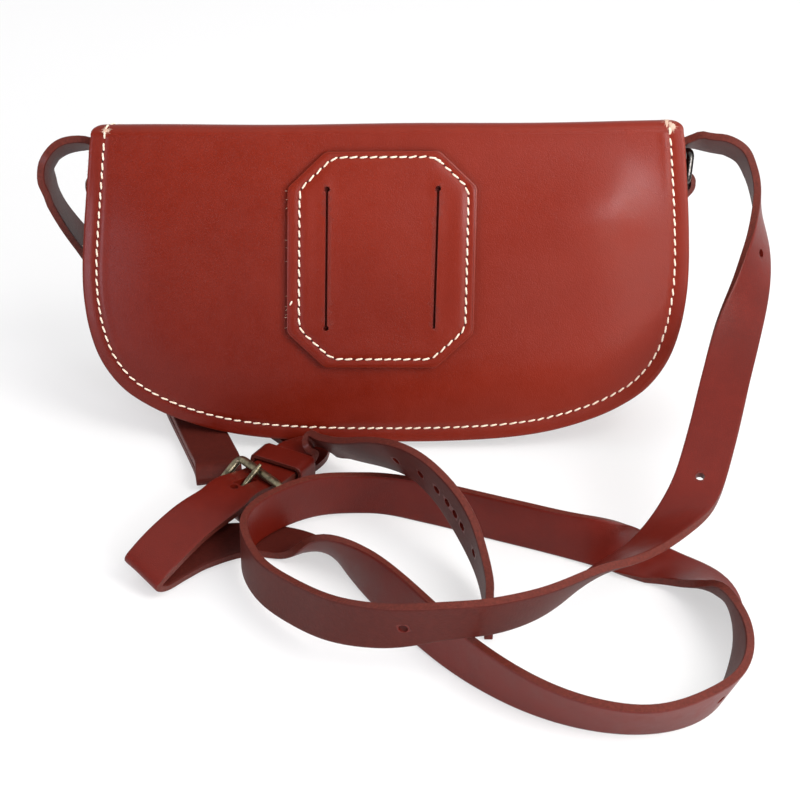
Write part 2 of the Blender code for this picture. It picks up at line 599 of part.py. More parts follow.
def keyhole_shape(stud):
    """An upright slot with round ends, through the flap: the ball passes its lower end."""
    half = KEYHOLE_W / 2
    run = KEYHOLE_H - KEYHOLE_W
    outline = []
    for k in range(20):
        a = 2 * math.pi * k / 20
        outline.append((half * math.cos(a), half * math.sin(a) - (run if k >= 10 else 0)))
    shape = bmesh.new()
    start = -LEATHER * 3
    ring = [shape.verts.new(stud + Vector(FRONT.up) * v + Vector((x, 0, 0)) + Vector(FRONT.out) * start)
            for x, v in outline]
    face = shape.faces.new(ring)
    pulled = bmesh.ops.extrude_face_region(shape, geom=[face])["geom"]
    moved = [item for item in pulled if isinstance(item, bmesh.types.BMVert)]
    bmesh.ops.translate(shape, verts=moved, vec=Vector(FRONT.out) * LEATHER * 8)
    bmesh.ops.recalc_face_normals(shape, faces=shape.faces)
    return shape


def patch_outline(inset=0.0):
    """The belt patch's octagon in the back panel's plane, drawn in by the inset, going anticlockwise."""
    half_w, half_h = PATCH_W / 2 - inset, PATCH_H / 2 - inset
    trim = inset * (math.sqrt(2) - 1)
    cx, cv = PATCH_CHAMFER_X - trim, PATCH_CHAMFER_V - trim
    corners = ((half_w, half_h - cv), (half_w - cx, half_h), (cx - half_w, half_h), (-half_w, half_h - cv),
               (-half_w, cv - half_h), (cx - half_w, -half_h), (half_w - cx, -half_h), (half_w, cv - half_h))
    return [np.array([PATCH_X + x, PATCH_V + v]) for x, v in corners]


def along_polygon(corners, step):
    """Points round a closed polygon, every corner kept."""
    points = []
    for a, b in zip(corners, corners[1:] + corners[:1]):
        count = max(1, round(np.linalg.norm(b - a) / step))
        points += [a + (b - a) * k / count for k in range(count)]
    return points


def build_patch():
    """The octagonal patch with its two upright slits, laid on the back panel."""
    ring = np.array(along_polygon(patch_outline(), PATCH_H / 6))
    centre = np.array([PATCH_X, PATCH_V])
    shape = bmesh.new()
    lift = -(LAY + PATCH_T)
    rows = [[shape.verts.new(p) for p in BACK.at(centre + (ring - centre) * s, lift)] for s in (1.0, 0.72, 0.40)]
    middle = shape.verts.new(BACK.at(centre, lift)[0])
    count = len(ring)
    for outer, inner in zip(rows, rows[1:]):
        for k in range(count):
            shape.faces.new((outer[k], outer[(k + 1) % count], inner[(k + 1) % count], inner[k]))
    for k in range(count):
        shape.faces.new((rows[-1][k], rows[-1][(k + 1) % count], middle))
    bmesh.ops.recalc_face_normals(shape, faces=shape.faces)
    shape.faces.ensure_lookup_table()
    if shape.faces[0].normal.dot(Vector(BACK.out)) < 0:
        bmesh.ops.reverse_faces(shape, faces=shape.faces)
    mesh = bpy.data.meshes.new("belt_patch")
    shape.to_mesh(mesh)
    shape.free()
    patch = place("belt_patch", mesh, PANEL_LEATHER)
    thicken(patch, PATCH_T, -1)
    slits = bmesh.new()
    for side in (-1, 1):
        x = PATCH_X + side * SLIT_SPACING / 2
        middle_v = (SLIT_TOP_V + SLIT_LOW_V) / 2
        block = bmesh.ops.create_cube(slits, size=1.0)["verts"]
        for vert in block:
            vert.co = Vector((vert.co.x * SLIT_W, vert.co.y * PATCH_T * 4, vert.co.z * (SLIT_TOP_V - SLIT_LOW_V)))
        turn = Vector(BACK.up).to_track_quat("Z", "Y").to_matrix()
        bmesh.ops.rotate(slits, verts=block, matrix=turn)
        bmesh.ops.translate(slits, verts=block, vec=BACK.at((x, middle_v), -PATCH_T / 2)[0])
    cut(patch, cutter_object("patch_slits", slits))
    holes = bmesh.new()
    for x, v in ((-1, SLIT_TOP_V), (1, SLIT_TOP_V), (-1, SLIT_LOW_V)):
        centre = BACK.at((PATCH_X + x * SLIT_SPACING / 2, v), -PATCH_T / 2)[0]
        add_pin(holes, centre, BACK.out, SLIT_HOLE_D, PATCH_T * 4)
    cut(patch, cutter_object("patch_slit_ends", holes))


def build_threads():
    """A thread along each seam, lying on the leather that it holds."""
    rise = -(GAP + THREAD_D / 2)
    for panel, name in ((BACK, "back_seam_thread"), (FRONT, "front_seam_thread")):
        inward = outline_normals(panel.outline)
        keep = panel.outline[:, 1] < panel.height - SEAM_TOP_DROP
        line = (panel.outline + inward * SEAM_INSET)[keep]
        tube(name, panel.at(line, rise), THREAD_D, THREAD, sides=1)
    ring = along_polygon(patch_outline(PATCH_SEAM_INSET), PATCH_H / 6)
    points = BACK.at(ring, rise - LAY - PATCH_T)
    tube("patch_thread", points, THREAD_D, THREAD, cyclic=True, sides=1)


def ring_frame(side):
    """Axes of one ring: along its bar, outward, up in its plane, and its bar's centre."""
    along = np.array([0, math.cos(RING_TILT), -math.sin(RING_TILT)])
    outward = np.array([side, 0, 0])
    up = np.array([0, math.sin(RING_TILT), math.cos(RING_TILT)])
    return along, outward, up


def ring_bar(side):
    """Centre of the ring's straight bar, set off the gusset by the folded tab."""
    height = (RING_Z - TAB_LENGTH - PANEL_Z) / math.cos(BACK_LEAN)
    edge = np.interp(height / PANEL_H, [v for _, v in PANEL_OUTLINE_SHARES], [x for x, _ in PANEL_OUTLINE_SHARES])
    web = edge * PANEL_W / 2 - WEB_HIGH_INSET + GUSSET_T / 2
    reach = RING_WIRE / 2 + LAY + TAB_T / 2
    return np.array([side * (web + LAY + TAB_T / 2 + reach), RING_Y, RING_Z]), reach


def build_ring(side, name):
    """D-ring: a straight bar, two legs and a low arc, leaning a little outward."""
    along, outward, up = ring_frame(side)
    rise = up * math.cos(RING_LEAN) + outward * math.sin(RING_LEAN)
    flat = []
    for k in range(3):
        a = math.pi / 2 * k / 2
        flat.append((RING_HALF_W - RING_CORNER + RING_CORNER * math.sin(a), RING_CORNER - RING_CORNER * math.cos(a)))
    for k in range(13):
        a = math.pi * k / 12
        flat.append((RING_HALF_W * math.cos(a), RING_LEG + RING_RISE * math.sin(a)))
    for k in range(3):
        a = math.pi / 2 * k / 2
        flat.append((RING_CORNER - RING_HALF_W - RING_CORNER * math.cos(a), RING_CORNER - RING_CORNER * math.sin(a)))
    centre, _ = ring_bar(side)
    tube(name, [along * a + rise * w for a, w in flat], RING_WIRE, DARK_METAL, cyclic=True, location=centre)


def build_tab(side, name, rivet_name):
    """Leather tab folded round the ring's bar, both of its ends held to the gusset by one rivet."""
    along, outward, up = ring_frame(side)
    centre, reach = ring_bar(side)
    path = [(-reach, -TAB_LENGTH), (-reach, -TAB_LENGTH / 2), (-reach, 0)]
    for k in range(1, 8):
        a = math.pi * (1 - k / 8)
        path.append((reach * math.cos(a), reach * math.sin(a)))
    path.append((reach, 0))
    outer = -reach + TAB_T + GAP
    path += [(reach * 0.85, -reach * 0.9), (outer + reach * 0.12, -reach * 2), (outer, -reach * 2.7),
             (outer, -TAB_LENGTH)]
    smooth = catmull(path, 2)
    rows = []
    for u, w in smooth:
        base = centre + outward * u + up * w
        rows.append([base - along * TAB_W / 2, base + along * TAB_W / 2])
    tab = place(name, loft(name, rows), STRAP_LEATHER)
    thicken(tab, TAB_T, 0)
    pin = centre + outward * (outer + TAB_T / 2) - up * TAB_PIN_DROP
    bore = bmesh.new()
    hole_d = TAB_PIN_D + 2 * GAP
    add_pin(bore, pin - outward * TAB_T, outward, hole_d, TAB_T * 6, sides=12)
    bore_cutter = cutter_object(rivet_name + "_bore", bore)
    cut(tab, bore_cutter)
    inside = -(TAB_T * 2 + GAP + LAY + GUSSET_T + OVERRUN / 2)
    cap, post = TAB_CAP_D / 2, TAB_PIN_D / 2
    profile = ((0, GAP + TAB_CAP_H), (cap * 0.7, GAP + TAB_CAP_H * 0.8), (cap, GAP + TAB_CAP_H * 0.2), (cap, GAP),
               (post, GAP), (post, inside), (cap, inside), (cap, inside - TAB_CAP_H / 2), (0, inside - TAB_CAP_H / 2))
    turned(rivet_name, profile, DARK_METAL, pin, outward, steps=14)
    return bore_cutter


def strap_stations(route):
    """Centre, across and face directions along a strap, closer together where it bends."""
    curve = catmull(route, 16)
    centre = curve[:, :3]
    along = unit(np.gradient(centre, axis=0))
    across = curve[:, 3:] - (curve[:, 3:] * along).sum(1)[:, None] * along
    across = unit(across)
    face = np.cross(along, across)
    kept = [0]
    for k in range(1, len(curve)):
        last = kept[-1]
        far = np.linalg.norm(centre[k] - centre[last]) > STATION
        bent = math.acos(min(1, float(face[k] @ face[last]))) > STATION_TURN
        swung = math.acos(min(1, float(along[k] @ along[last]))) > STATION_TURN
        if far or bent or swung:
            kept.append(k)
    kept[-1] = len(curve) - 1
    floor = abs(across[:, 2]) * STRAP_W / 2 + abs(face[:, 2]) * STRAP_T / 2 + GAP
    centre[:, 2] = np.maximum(centre[:, 2], floor)
    return centre[kept], across[kept], face[kept]


def build_strap(name, route):
    """A flat strap along its route."""
    centre, across, _ = strap_stations(route)
    rows = [[c - a * STRAP_W / 2, c + a * STRAP_W / 2] for c, a in zip(centre, across)]
    strap = place(name, loft(name, rows), STRAP_LEATHER)
    thicken(strap, STRAP_T, 0)
    length = float(np.linalg.norm(np.diff(centre, axis=0), axis=1).sum())
    print(name, "centre line", round(length * 1000), "mm")
    return strap


def strap_place(route, distance):
    """Centre, direction along and face direction at a distance along the strap."""
    centre, across, face = strap_stations(route)
    run = np.concatenate([[0], np.cumsum(np.linalg.norm(np.diff(centre, axis=0), axis=1))])
    k = int(np.clip(np.searchsorted(run, distance), 1, len(run) - 1))
    share = (distance - run[k - 1]) / (run[k] - run[k - 1])
    spot = centre[k - 1] + (centre[k] - centre[k - 1]) * share
    return spot, unit(centre[k] - centre[k - 1]), unit(face[k - 1] + face[k])


def build_straps():
    """Both straps, with the long one's punched holes and the slot for the prong in the short one's fold."""
    long_strap = build_strap("long_strap", LONG_ROUTE)
    holes = bmesh.new()
    for distance in LONG_HOLES:
        spot, _, face = strap_place(LONG_ROUTE, distance)
        add_pin(holes, spot, face, STRAP_HOLE_D, STRAP_T * 2.5, sides=8)
    cut(long_strap, cutter_object("strap_holes", holes))
    prong_hole = bmesh.new()
    spot, along, face = strap_place(LONG_ROUTE, PRONG_HOLE_AT)
    add_slot(prong_hole, spot, along, face, PRONG_SLOT, STRAP_HOLE_D + 2 * PRONG_CLEAR, STRAP_T * 2.5)
    cut(long_strap, cutter_object("prong_hole", prong_hole))
    short_strap = build_strap("short_strap", SHORT_ROUTE)
    fold = bmesh.new()
    heel, across, toward = buckle_frame()
    add_slot(fold, heel, toward, (0, 0, 1), PRONG_SLOT * 2.2, PRONG_EYE_W + 4 * GAP, STRAP_T * 6)
    cut(short_strap, cutter_object("fold_slot", fold))


def add_slot(shape, centre, along, face, length, width, depth):
    """Add a box-shaped cutter with its length along the strap and its depth through the strap's face."""
    along, face = unit(along), unit(face)
    face = unit(face - along * float(along @ face))
    side = np.cross(face, along)
    block = bmesh.ops.create_cube(shape, size=1.0)["verts"]
    for vert in block:
        local = vert.co.copy()
        vert.co = Vector(centre + along * local.x * length + side * local.y * width + face * local.z * depth)


def buckle_frame():
    """Heel bar centre, the direction across the buckle, and the direction from heel to front bar."""
    toward = np.array([math.cos(BUCKLE_YAW), math.sin(BUCKLE_YAW), 0])
    across = np.array([toward[1], -toward[0], 0])
    heel = np.array([BUCKLE_X, BUCKLE_Y, BUCKLE_HEEL_Z]) - toward * BUCKLE_LENGTH
    return heel, across, toward


def build_buckle():
    """Wire buckle: heel bar, two rising sides and a front bar, and a prong that turns on the heel bar."""
    heel, across, toward = buckle_frame()
    front = np.array([BUCKLE_X, BUCKLE_Y, BUCKLE_TOP_Z])
    half = BUCKLE_W / 2
    slope = unit(front - heel)
    path = []
    corners = [heel - across * half, heel + across * half, front + across * half, front - across * half]
    for before, corner, after in zip(corners[-1:] + corners[:-1], corners, corners[1:] + corners[:1]):
        a, b = unit(before - corner), unit(after - corner)
        for t in np.linspace(0, 1, 4):
            path.append(corner + (a * (1 - t) ** 2 + b * t ** 2) * BAR_D)
    tube("buckle_frame", path, BAR_D, BRASS, cyclic=True)
    reach = BAR_D / 2 + PRONG_CLEAR + PRONG_D / 2
    length = float(np.linalg.norm(front - heel)) + PRONG_OVERHANG
    level = BAR_D / 2 + LAY + PRONG_D / 2
    normal = np.cross(across, slope)
    normal = normal if normal[2] > 0 else -normal
    points = []
    for k in range(10):
        a = PRONG_EYE_START + PRONG_EYE_SWEEP * (9 - k) / 9
        points.append(normal * reach * math.cos(a) - slope * reach * math.sin(a))
    points.append(slope * reach + normal * level)
    points.append(slope * (length - PRONG_OVERHANG * 2) + normal * level)
    points.append(slope * length + normal * level)
    tube("buckle_prong", points, PRONG_D, BRASS, location=heel)
    return heel, across


def build_keeper():
    """Leather loop that slides along both straps."""
    toward = np.array([math.cos(KEEPER_YAW), math.sin(KEEPER_YAW), 0])
    across = np.array([toward[1], -toward[0], 0])
    middle = np.array([KEEPER_X, KEEPER_Y, (KEEPER_LOW_Z + KEEPER_HIGH_Z) / 2])
    half_w = STRAP_W / 2 + KEEPER_SIDE_CLEAR + KEEPER_T / 2
    half_h = (KEEPER_HIGH_Z - KEEPER_LOW_Z) / 2
    corner = KEEPER_T
    ring = []
    for sx, sz in ((1, -1), (1, 1), (-1, 1), (-1, -1)):
        for t in (0, 0.5, 1):
            a = math.atan2(sz, sx) + (t - 0.5) * math.pi / 2
            ring.append((sx * (half_w - corner) + corner * math.cos(a), sz * (half_h - corner) + corner * math.sin(a)))
    rows = []
    for x, z in ring:
        spot = across * x + np.array([0, 0, z])
        rows.append([spot - toward * KEEPER_W / 2, spot + toward * KEEPER_W / 2])
    keeper = place("keeper", loft("keeper", rows, closed=True), STRAP_LEATHER, middle)
    thicken(keeper, KEEPER_T, 0)
    return middle, toward


def build_stud(front_panel):
    """Ball stud on the front panel, with the screw that holds it from inside."""
    seat = FRONT.at((0, STUD_V))[0]
    ball, neck, base = STUD_BALL_D / 2, STUD_NECK_D / 2, STUD_BASE_D / 2
    neck_h = FLAP_CLEAR + LEATHER + GAP
    profile = [(0, STUD_BASE_H + neck_h + 2 * ball)]
    for k in range(1, 8):
        a = math.pi * k / 8
        if ball * math.sin(a) > neck or k < 5:
            profile.append((ball * math.sin(a), STUD_BASE_H + neck_h + ball + ball * math.cos(a)))
    profile += [(neck, STUD_BASE_H + neck_h * 0.9), (neck, STUD_BASE_H + GAP), (base, STUD_BASE_H + GAP), (base, GAP),
                (0, GAP)]
    turned("closure_stud", profile, BRASS, seat, FRONT.out, steps=16)
    head = SCREW_HEAD_D / 2
    profile = ((0, -GAP), (neck, -GAP), (neck, -LEATHER - GAP), (head, -LEATHER - GAP),
               (head, -LEATHER - GAP - SCREW_HEAD_H), (0, -LEATHER - GAP - SCREW_HEAD_H))
    turned("stud_screw", profile, BRASS, seat, FRONT.out, steps=16)
    bore = bmesh.new()
    add_pin(bore, seat, FRONT.out, STUD_NECK_D + 2 * GAP, LEATHER * 4, sides=16)
    cut(front_panel, cutter_object("stud_bore", bore))


BACK.sheet("back_panel", LEATHER, PANEL_LEATHER)
front_panel = FRONT.sheet("front_panel", LEATHER, PANEL_LEATHER)
gusset = build_gusset()
flap_hinge, fold_hinge = build_flap()
build_patch()
build_threads()
for ring_side, ring_word in ((1, "right"), (-1, "left")):
    build_ring(ring_side, ring_word + "_d_ring")
    cut(gusset, build_tab(ring_side, ring_word + "_ring_tab", ring_word + "_tab_rivet"))
build_straps()
heel_bar, heel_axis = build_buckle()
keeper_middle, keeper_axis = build_keeper()
build_stud(front_panel)

for label, place_value in (("flap hinge", flap_hinge), ("fold hinge", fold_hinge), ("heel bar", heel_bar),
                           ("heel axis", heel_axis), ("keeper", keeper_middle), ("keeper axis", keeper_axis),
                           ("right ring bar", ring_bar(1)[0]), ("ring axis", ring_frame(1)[0]),
                           ("stud seat", FRONT.at((0, STUD_V))[0]), ("patch face", BACK.at((PATCH_X, PATCH_V))[0])):
    print(label, [round(float(v), 5) for v in place_value])
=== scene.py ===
import math

import bmesh
import bpy
import numpy as np
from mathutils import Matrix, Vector


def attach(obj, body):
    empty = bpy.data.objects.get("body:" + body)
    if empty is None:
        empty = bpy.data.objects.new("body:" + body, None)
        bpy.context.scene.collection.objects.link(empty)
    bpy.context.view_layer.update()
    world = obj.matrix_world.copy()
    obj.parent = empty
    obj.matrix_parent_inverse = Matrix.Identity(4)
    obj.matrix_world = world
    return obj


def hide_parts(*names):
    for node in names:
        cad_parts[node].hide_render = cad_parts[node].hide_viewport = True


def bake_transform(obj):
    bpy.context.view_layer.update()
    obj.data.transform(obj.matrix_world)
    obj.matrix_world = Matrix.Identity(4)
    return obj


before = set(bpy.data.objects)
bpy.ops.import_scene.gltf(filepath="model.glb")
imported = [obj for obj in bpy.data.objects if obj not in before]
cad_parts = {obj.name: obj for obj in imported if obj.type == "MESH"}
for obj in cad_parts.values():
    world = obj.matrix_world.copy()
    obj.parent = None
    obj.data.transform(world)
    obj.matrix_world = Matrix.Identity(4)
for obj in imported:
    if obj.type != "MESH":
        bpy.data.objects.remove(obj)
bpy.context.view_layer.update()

# Metres, in the row frame: +Z up, the floor at z = 0, the patched back of the bag towards -Y.
RANDOM = np.random.default_rng(11)

# Sizes: the CAD's own, but for HEM_V, WEB_HIGH_INSET, SLIT_W, SEAM_TOP_DROP, RING_HALF_W, RING_LEANS and
# SIDE_SHIFTS, which follow the photo more closely
GAP = 0.0003
LAY = 0.0005
LEATHER = 0.0028
GUSSET_T = 0.0020
TAB_T = 0.0022
PANEL_W = 0.2514
PANEL_H = 0.1305
HEM_V = 0.1282
PANEL_Y = -0.0380
PANEL_Z = 0.0045
BACK_LEAN = math.radians(17.0)
BACK_BULGE = 0.0030
BULGE_RAMP = 0.042
TOP_RAMP = 0.040
BAG_DEPTH = 0.058
FRONT_Z = 0.0014
FRONT_H = 0.108
FRONT_LEAN = math.radians(5.0)
FRONT_BULGE = 0.0015
RIM_INSET = 0.0006
FLANGE = 0.0085
FOLD_R = 0.0022
WEB_LOW_INSET = 0.0052
WEB_HIGH_INSET = 0.0055
GUSSET_TOP_DROP = 0.0050
FLAP_W = 0.2310
FOLD_OUTER_R = 0.0042
FLAP_CLEAR = 0.0008
FLAP_DROP = 0.0860
FLAP_CORNER = 0.0420
FLAP_WIDEN = 0.0040
PATCH_W = 0.0775
PATCH_H = 0.0885
PATCH_X = -0.0018
PATCH_V = 0.0776
PATCH_T = 0.0026
PATCH_CHAMFER_X = 0.0155
PATCH_CHAMFER_V = 0.0145
SLIT_SPACING = 0.0450
SLIT_W = 0.0009
SLIT_TOP_V = 0.1068
SLIT_LOW_V = 0.0500
SLIT_HOLE_D = 0.0022
SEAM_INSET = 0.0060
SEAM_TOP_DROP = 0.0015
RING_Y = 0.0120
RING_Z = 0.1010
RING_TILT = math.radians(26.0)
RING_LEANS = {1: math.radians(6.5), -1: math.radians(-3.0)}
# How far each ring, its tab and the strap's end there hang off the CAD's place; the left ones hang further in,
# behind the bag's rim
SIDE_SHIFTS = {1: np.array([-0.0012, 0.0, -0.0010]), -1: np.array([0.0052, -0.0013, 0.0])}
ROUTE_LENGTH = 1.268
RING_WIRE = 0.0032
RING_HALF_W = 0.0119
RING_LEG = 0.0094
RING_RISE = 0.0034
RING_CORNER = 0.0024
TAB_W = 0.0170
TAB_LENGTH = 0.0165
TAB_PIN_D = 0.0024
TAB_CAP_D = 0.0066
TAB_CAP_H = 0.0013
TAB_PIN_DROP = 0.0115
STRAP_W = 0.0190
STRAP_T = 0.0032
STRAP_HOLE_D = 0.0035
PRONG_SLOT = 0.0098
BAR_D = 0.0032
BUCKLE_W = 0.0300
BUCKLE_LENGTH = 0.0120
BUCKLE_X = -0.0492
BUCKLE_Y = -0.0787
BUCKLE_TOP_Z = 0.0147
BUCKLE_HEEL_Z = 0.0054
BUCKLE_YAW = math.radians(39.0)
PRONG_D = 0.0022
PRONG_CLEAR = 0.0004
PRONG_OVERHANG = 0.0024
PRONG_EYE_START = math.radians(20.0)
PRONG_EYE_SWEEP = math.radians(232.0)
KEEPER_X = -0.0416
KEEPER_Y = -0.0627
KEEPER_LOW_Z = 0.0018
KEEPER_HIGH_Z = 0.0124
KEEPER_YAW = math.radians(60.0)
KEEPER_T = 0.0018
KEEPER_W = 0.0110
KEEPER_SIDE_CLEAR = 0.0012
STUD_V = 0.0470
STUD_BALL_D = 0.0070
STUD_NECK_D = 0.0036
STUD_BASE_D = 0.0090
STUD_BASE_H = 0.0008
SCREW_HEAD_D = 0.0080
SCREW_HEAD_H = 0.0012
KEYHOLE_W = 0.0084
KEYHOLE_H = 0.0150

# Half outline of a body panel, from the middle of the bottom edge round to the top: shares of half width, height
PANEL_OUTLINE_SHARES = (
    (0.00, 0.000), (0.20, 0.002), (0.40, 0.013), (0.56, 0.037), (0.705, 0.080), (0.81, 0.130), (0.885, 0.186),
    (0.945, 0.268), (0.980, 0.365), (0.997, 0.470), (1.000, 0.570), (0.993, 0.690), (0.983, 0.800),
    (0.974, 0.890), (0.968, 0.950), (0.962, 1.000),
)

# Strap routes from the turned end: centre points in tenths of a millimetre, then the direction across the strap
# from its first edge to its second, in hundredths
LONG_ROUTE = (
    (1268, 153, 1077, 0, 90, -44), (1249, 170, 1114, 0, 90, -44), (1270, 186, 1152, 0, 90, -44),
    (1315, 180, 1165, 0, 85, -53), (1366, 160, 1178, 0, 79, -61), (1424, 132, 1177, 0, 79, -61),
    (1480, 105, 1144, 2, 81, -58), (1518, 62, 1080, 6, 83, -55), (1536, -10, 988, 15, 86, -49),
    (1537, -140, 872, 50, 80, -37), (1515, -235, 800, 68, 70, -20), (1483, -335, 725, 82, 48, -31),
    (1425, -480, 645, 95, 20, -25), (1365, -660, 570, 95, -25, -15), (1313, -825, 500, 97, -20, 0),
    (1258, -990, 415, 94, -30, -10), (1175, -1195, 315, 92, -35, -5), (1065, -1360, 276, 67, -69, 27),
    (930, -1500, 254, 42, -78, 46), (807, -1595, 254, 17, -80, 57), (722, -1686, 264, 0, -74, 67),
    (608, -1803, 276, -10, -63, 77), (503, -1887, 289, -11, -49, 86), (360, -1960, 304, -11, -37, 92),
    (215, -1977, 302, -5, -31, 95), (70, -1960, 270, 0, -21, 98), (-46, -1914, 239, 0, -14, 99),
    (-170, -1834, 205, 0, -8, 100), (-297, -1697, 164, 0, 0, 100), (-433, -1524, 136, 0, 0, 100),
    (-502, -1374, 134, 3, 0, 100), (-525, -1260, 136, 0, -5, 100), (-510, -1160, 138, 0, -10, 100),
    (-450, -1070, 139, 0, -10, 100), (-370, -1000, 139, 0, -10, 100), (-290, -940, 134, 0, -10, 100),
    (-200, -885, 112, 0, -14, 99), (-100, -860, 99, 0, -10, 99), (10, -868, 98, 0, -10, 99),
    (145, -910, 98, 0, 0, 100), (285, -968, 98, 0, 0, 100), (420, -1030, 98, 0, 3, 100), (570, -1095, 98, 0, 5, 100),
    (715, -1160, 97, 0, 10, 99), (830, -1205, 93, 8, 30, 95), (930, -1235, 70, 20, 65, 73),
    (1030, -1262, 40, 39, 90, 20), (1135, -1322, 40, 41, 90, -8), (1212, -1418, 62, 45, 84, -30),
    (1262, -1545, 80, 35, 70, -62), (1273, -1715, 92, 10, 40, -91), (1266, -1840, 98, -18, 10, -97),
    (1240, -1960, 97, -35, 10, -93), (1185, -2080, 96, -30, 30, -90), (1100, -2165, 95, -5, 42, -90),
    (990, -2225, 93, 10, 47, -87), (880, -2247, 93, 11, 45, -87), (770, -2236, 94, 9, 41, -90),
    (660, -2202, 94, 7, 36, -93), (550, -2144, 95, 2, 30, -95), (440, -2060, 96, -8, 26, -96),
    (335, -1955, 95, -20, 26, -94), (240, -1840, 92, -33, 29, -88), (130, -1680, 88, -45, 34, -83),
    (20, -1515, 82, -48, 42, -76), (-80, -1375, 80, -38, 50, -77), (-175, -1270, 74, -22, 66, -70),
    (-270, -1175, 48, -8, 88, -42), (-370, -1110, 22, 0, 100, -5), (-480, -1075, 20, -20, 98, 0),
    (-580, -1090, 28, -45, 88, 10), (-660, -1140, 42, -58, 78, 22), (-730, -1190, 49, -63, 72, 28),
    (-806, -1268, 50, -67, 69, 28), (-868, -1346, 56, -69, 67, 28), (-895, -1390, 90, -69, 66, 28),
    (-857, -1353, 125, -70, 66, 26), (-792, -1245, 146, -70, 66, 25), (-720, -1130, 156, -72, 66, 22),
    (-640, -1010, 152, -74, 66, 15), (-594, -905, 141, -75, 66, 7), (-545, -829, 122, -78, 63, 0),
    (-488, -749, 98, -80, 60, 0), (-435, -660, 90, -80, 60, 0), (-395, -592, 90, -80, 60, 0),
    (-355, -538, 93, -80, 60, -5), (-310, -506, 108, -60, 70, -40), (-260, -523, 126, -25, 75, -62),
    (-195, -600, 155, 10, 73, -68), (-120, -695, 195, 27, 60, -75), (-25, -805, 252, 30, 45, -84),
    (70, -925, 299, 28, 33, -90), (155, -1038, 310, 18, 22, -96), (225, -1135, 289, 15, 10, -98),
    (285, -1225, 248, 15, -10, -98), (335, -1320, 194, 12, -15, -98), (370, -1425, 144, 8, -10, -99),
    (388, -1560, 112, 0, 0, -100), (385, -1700, 99, 0, 0, -100),
)
SHORT_ROUTE = (
    (-1268, 153, 1077, 0, 90, -44), (-1249, 170, 1114, 0, 90, -44), (-1270, 186, 1152, 0, 90, -44),
    (-1315, 180, 1172, 0, 85, -53), (-1378, 160, 1164, 0, 84, -55), (-1417, 146, 1112, 2, 87, -50),
    (-1431, 149, 1034, 3, 88, -46), (-1421, 172, 945, 4, 90, -42), (-1392, 215, 830, 6, 90, -42),
    (-1345, 290, 695, 14, 90, -40), (-1272, 350, 542, 10, 96, 10), (-1188, 390, 380, 24, 96, 10),
    (-1100, 380, 240, 78, 60, -15), (-1030, 300, 118, 90, 42, -8), (-955, 140, 66, 94, 33, 0),
    (-860, -80, 59, 94, 33, 0), (-785, -290, 56, 94, 33, 0), (-725, -460, 56, 95, 30, 0), (-696, -550, 64, 96, 25, 0),
    (-682, -620, 74, 97, 20, 0), (-675, -675, 49, 97, 20, 0), (-682, -620, 23, 97, 20, 0),
    (-696, -550, 19, 96, 25, 0), (-725, -460, 19, 95, 30, 0), (-785, -290, 19, 94, 33, 0), (-860, -80, 19, 94, 33, 0),
    (-925, 120, 19, 96, 25, 0), (-965, 280, 24, 97, 10, 20), (-975, 430, 65, 75, -10, 62),
    (-930, 560, 96, 35, -15, 93), (-830, 630, 100, 5, 0, 100), (-720, 600, 100, 0, 5, 100),
    (-675, 500, 90, -30, 10, 93), (-665, 380, 46, -85, 0, 50), (-695, 260, 20, -98, -10, 4),
    (-668, 110, 19, -93, -35, 0), (-560, -70, 19, -80, -60, 0), (-420, -220, 19, -80, -60, 0),
    (-335, -340, 19, -95, -30, 0), (-330, -440, 24, -100, 10, 0), (-355, -520, 40, -85, 52, 0),
    (-395, -592, 52, -80, 60, 0), (-435, -660, 54, -80, 60, 0), (-475, -738, 59, -75, 66, 0),
    (-520, -800, 72, -66, 75, 0), (-570, -848, 87, -63, 78, 0), (-608, -879, 83, -63, 78, 0),
    (-620, -890, 54, -63, 78, 0), (-606, -878, 25, -63, 78, 0), (-570, -848, 19, -63, 78, 0),
    (-520, -806, 19, -65, 76, 0),
)
ROUTE_UNITS = (1e4,) * 3 + (100.0,) * 3
# Stretches of each route, between control points, where the strap's swing and twist are evened out
LONG_SOFT = ((5, 73), (86, 99))
SHORT_SOFT = ((5, 18),)
# Distances along the long strap of its punched holes
LONG_HOLES = (0.0909, 0.2028, 0.3527, 0.7356, 1.0670, 1.1760, 1.1921, 1.2028, 1.2101, 1.2159, 1.2218, 1.2339)
PRONG_HOLE_AT = 1.0747


# --- Small maths -------------------------------------------------------------------------------------------------

def unit(vectors):
    """Unit vectors along the last axis."""
    v = np.asarray(vectors, float)
    return v / np.maximum(np.linalg.norm(v, axis=-1, keepdims=True), 1e-12)


def ease(t):
    """A smooth step from nought to one."""
    t = np.clip(t, 0, 1)
    return t * t * (3 - 2 * t)


def bump(t):
    """A bell of height one and width about one."""
    return np.exp(-np.square(t))


def catmull(points, steps):
    """A smooth curve through every point, with the given steps from each to the next."""
    p = np.asarray(points, float)
    p = np.vstack([2 * p[0] - p[1], p, 2 * p[-1] - p[-2]])
    out = []
    for a, b, c, d in zip(p, p[1:], p[2:], p[3:]):
        for k in range(steps):
            t = k / steps
            out.append(((2 * b) + (c - a) * t + (2 * a - 5 * b + 4 * c - d) * t ** 2
                        + (3 * b - a - 3 * c + d) * t ** 3) / 2)
    out.append(p[-2])
    return np.array(out)


def run_of(line):
    """Distance along a line at each of its points."""
    return np.concatenate([[0], np.cumsum(np.linalg.norm(np.diff(line, axis=0), axis=1))])


def place_at(line, run, at):
    """Points at the given distances along a line."""
    return np.stack([np.interp(at, run, line[:, k]) for k in range(line.shape[1])], -1)


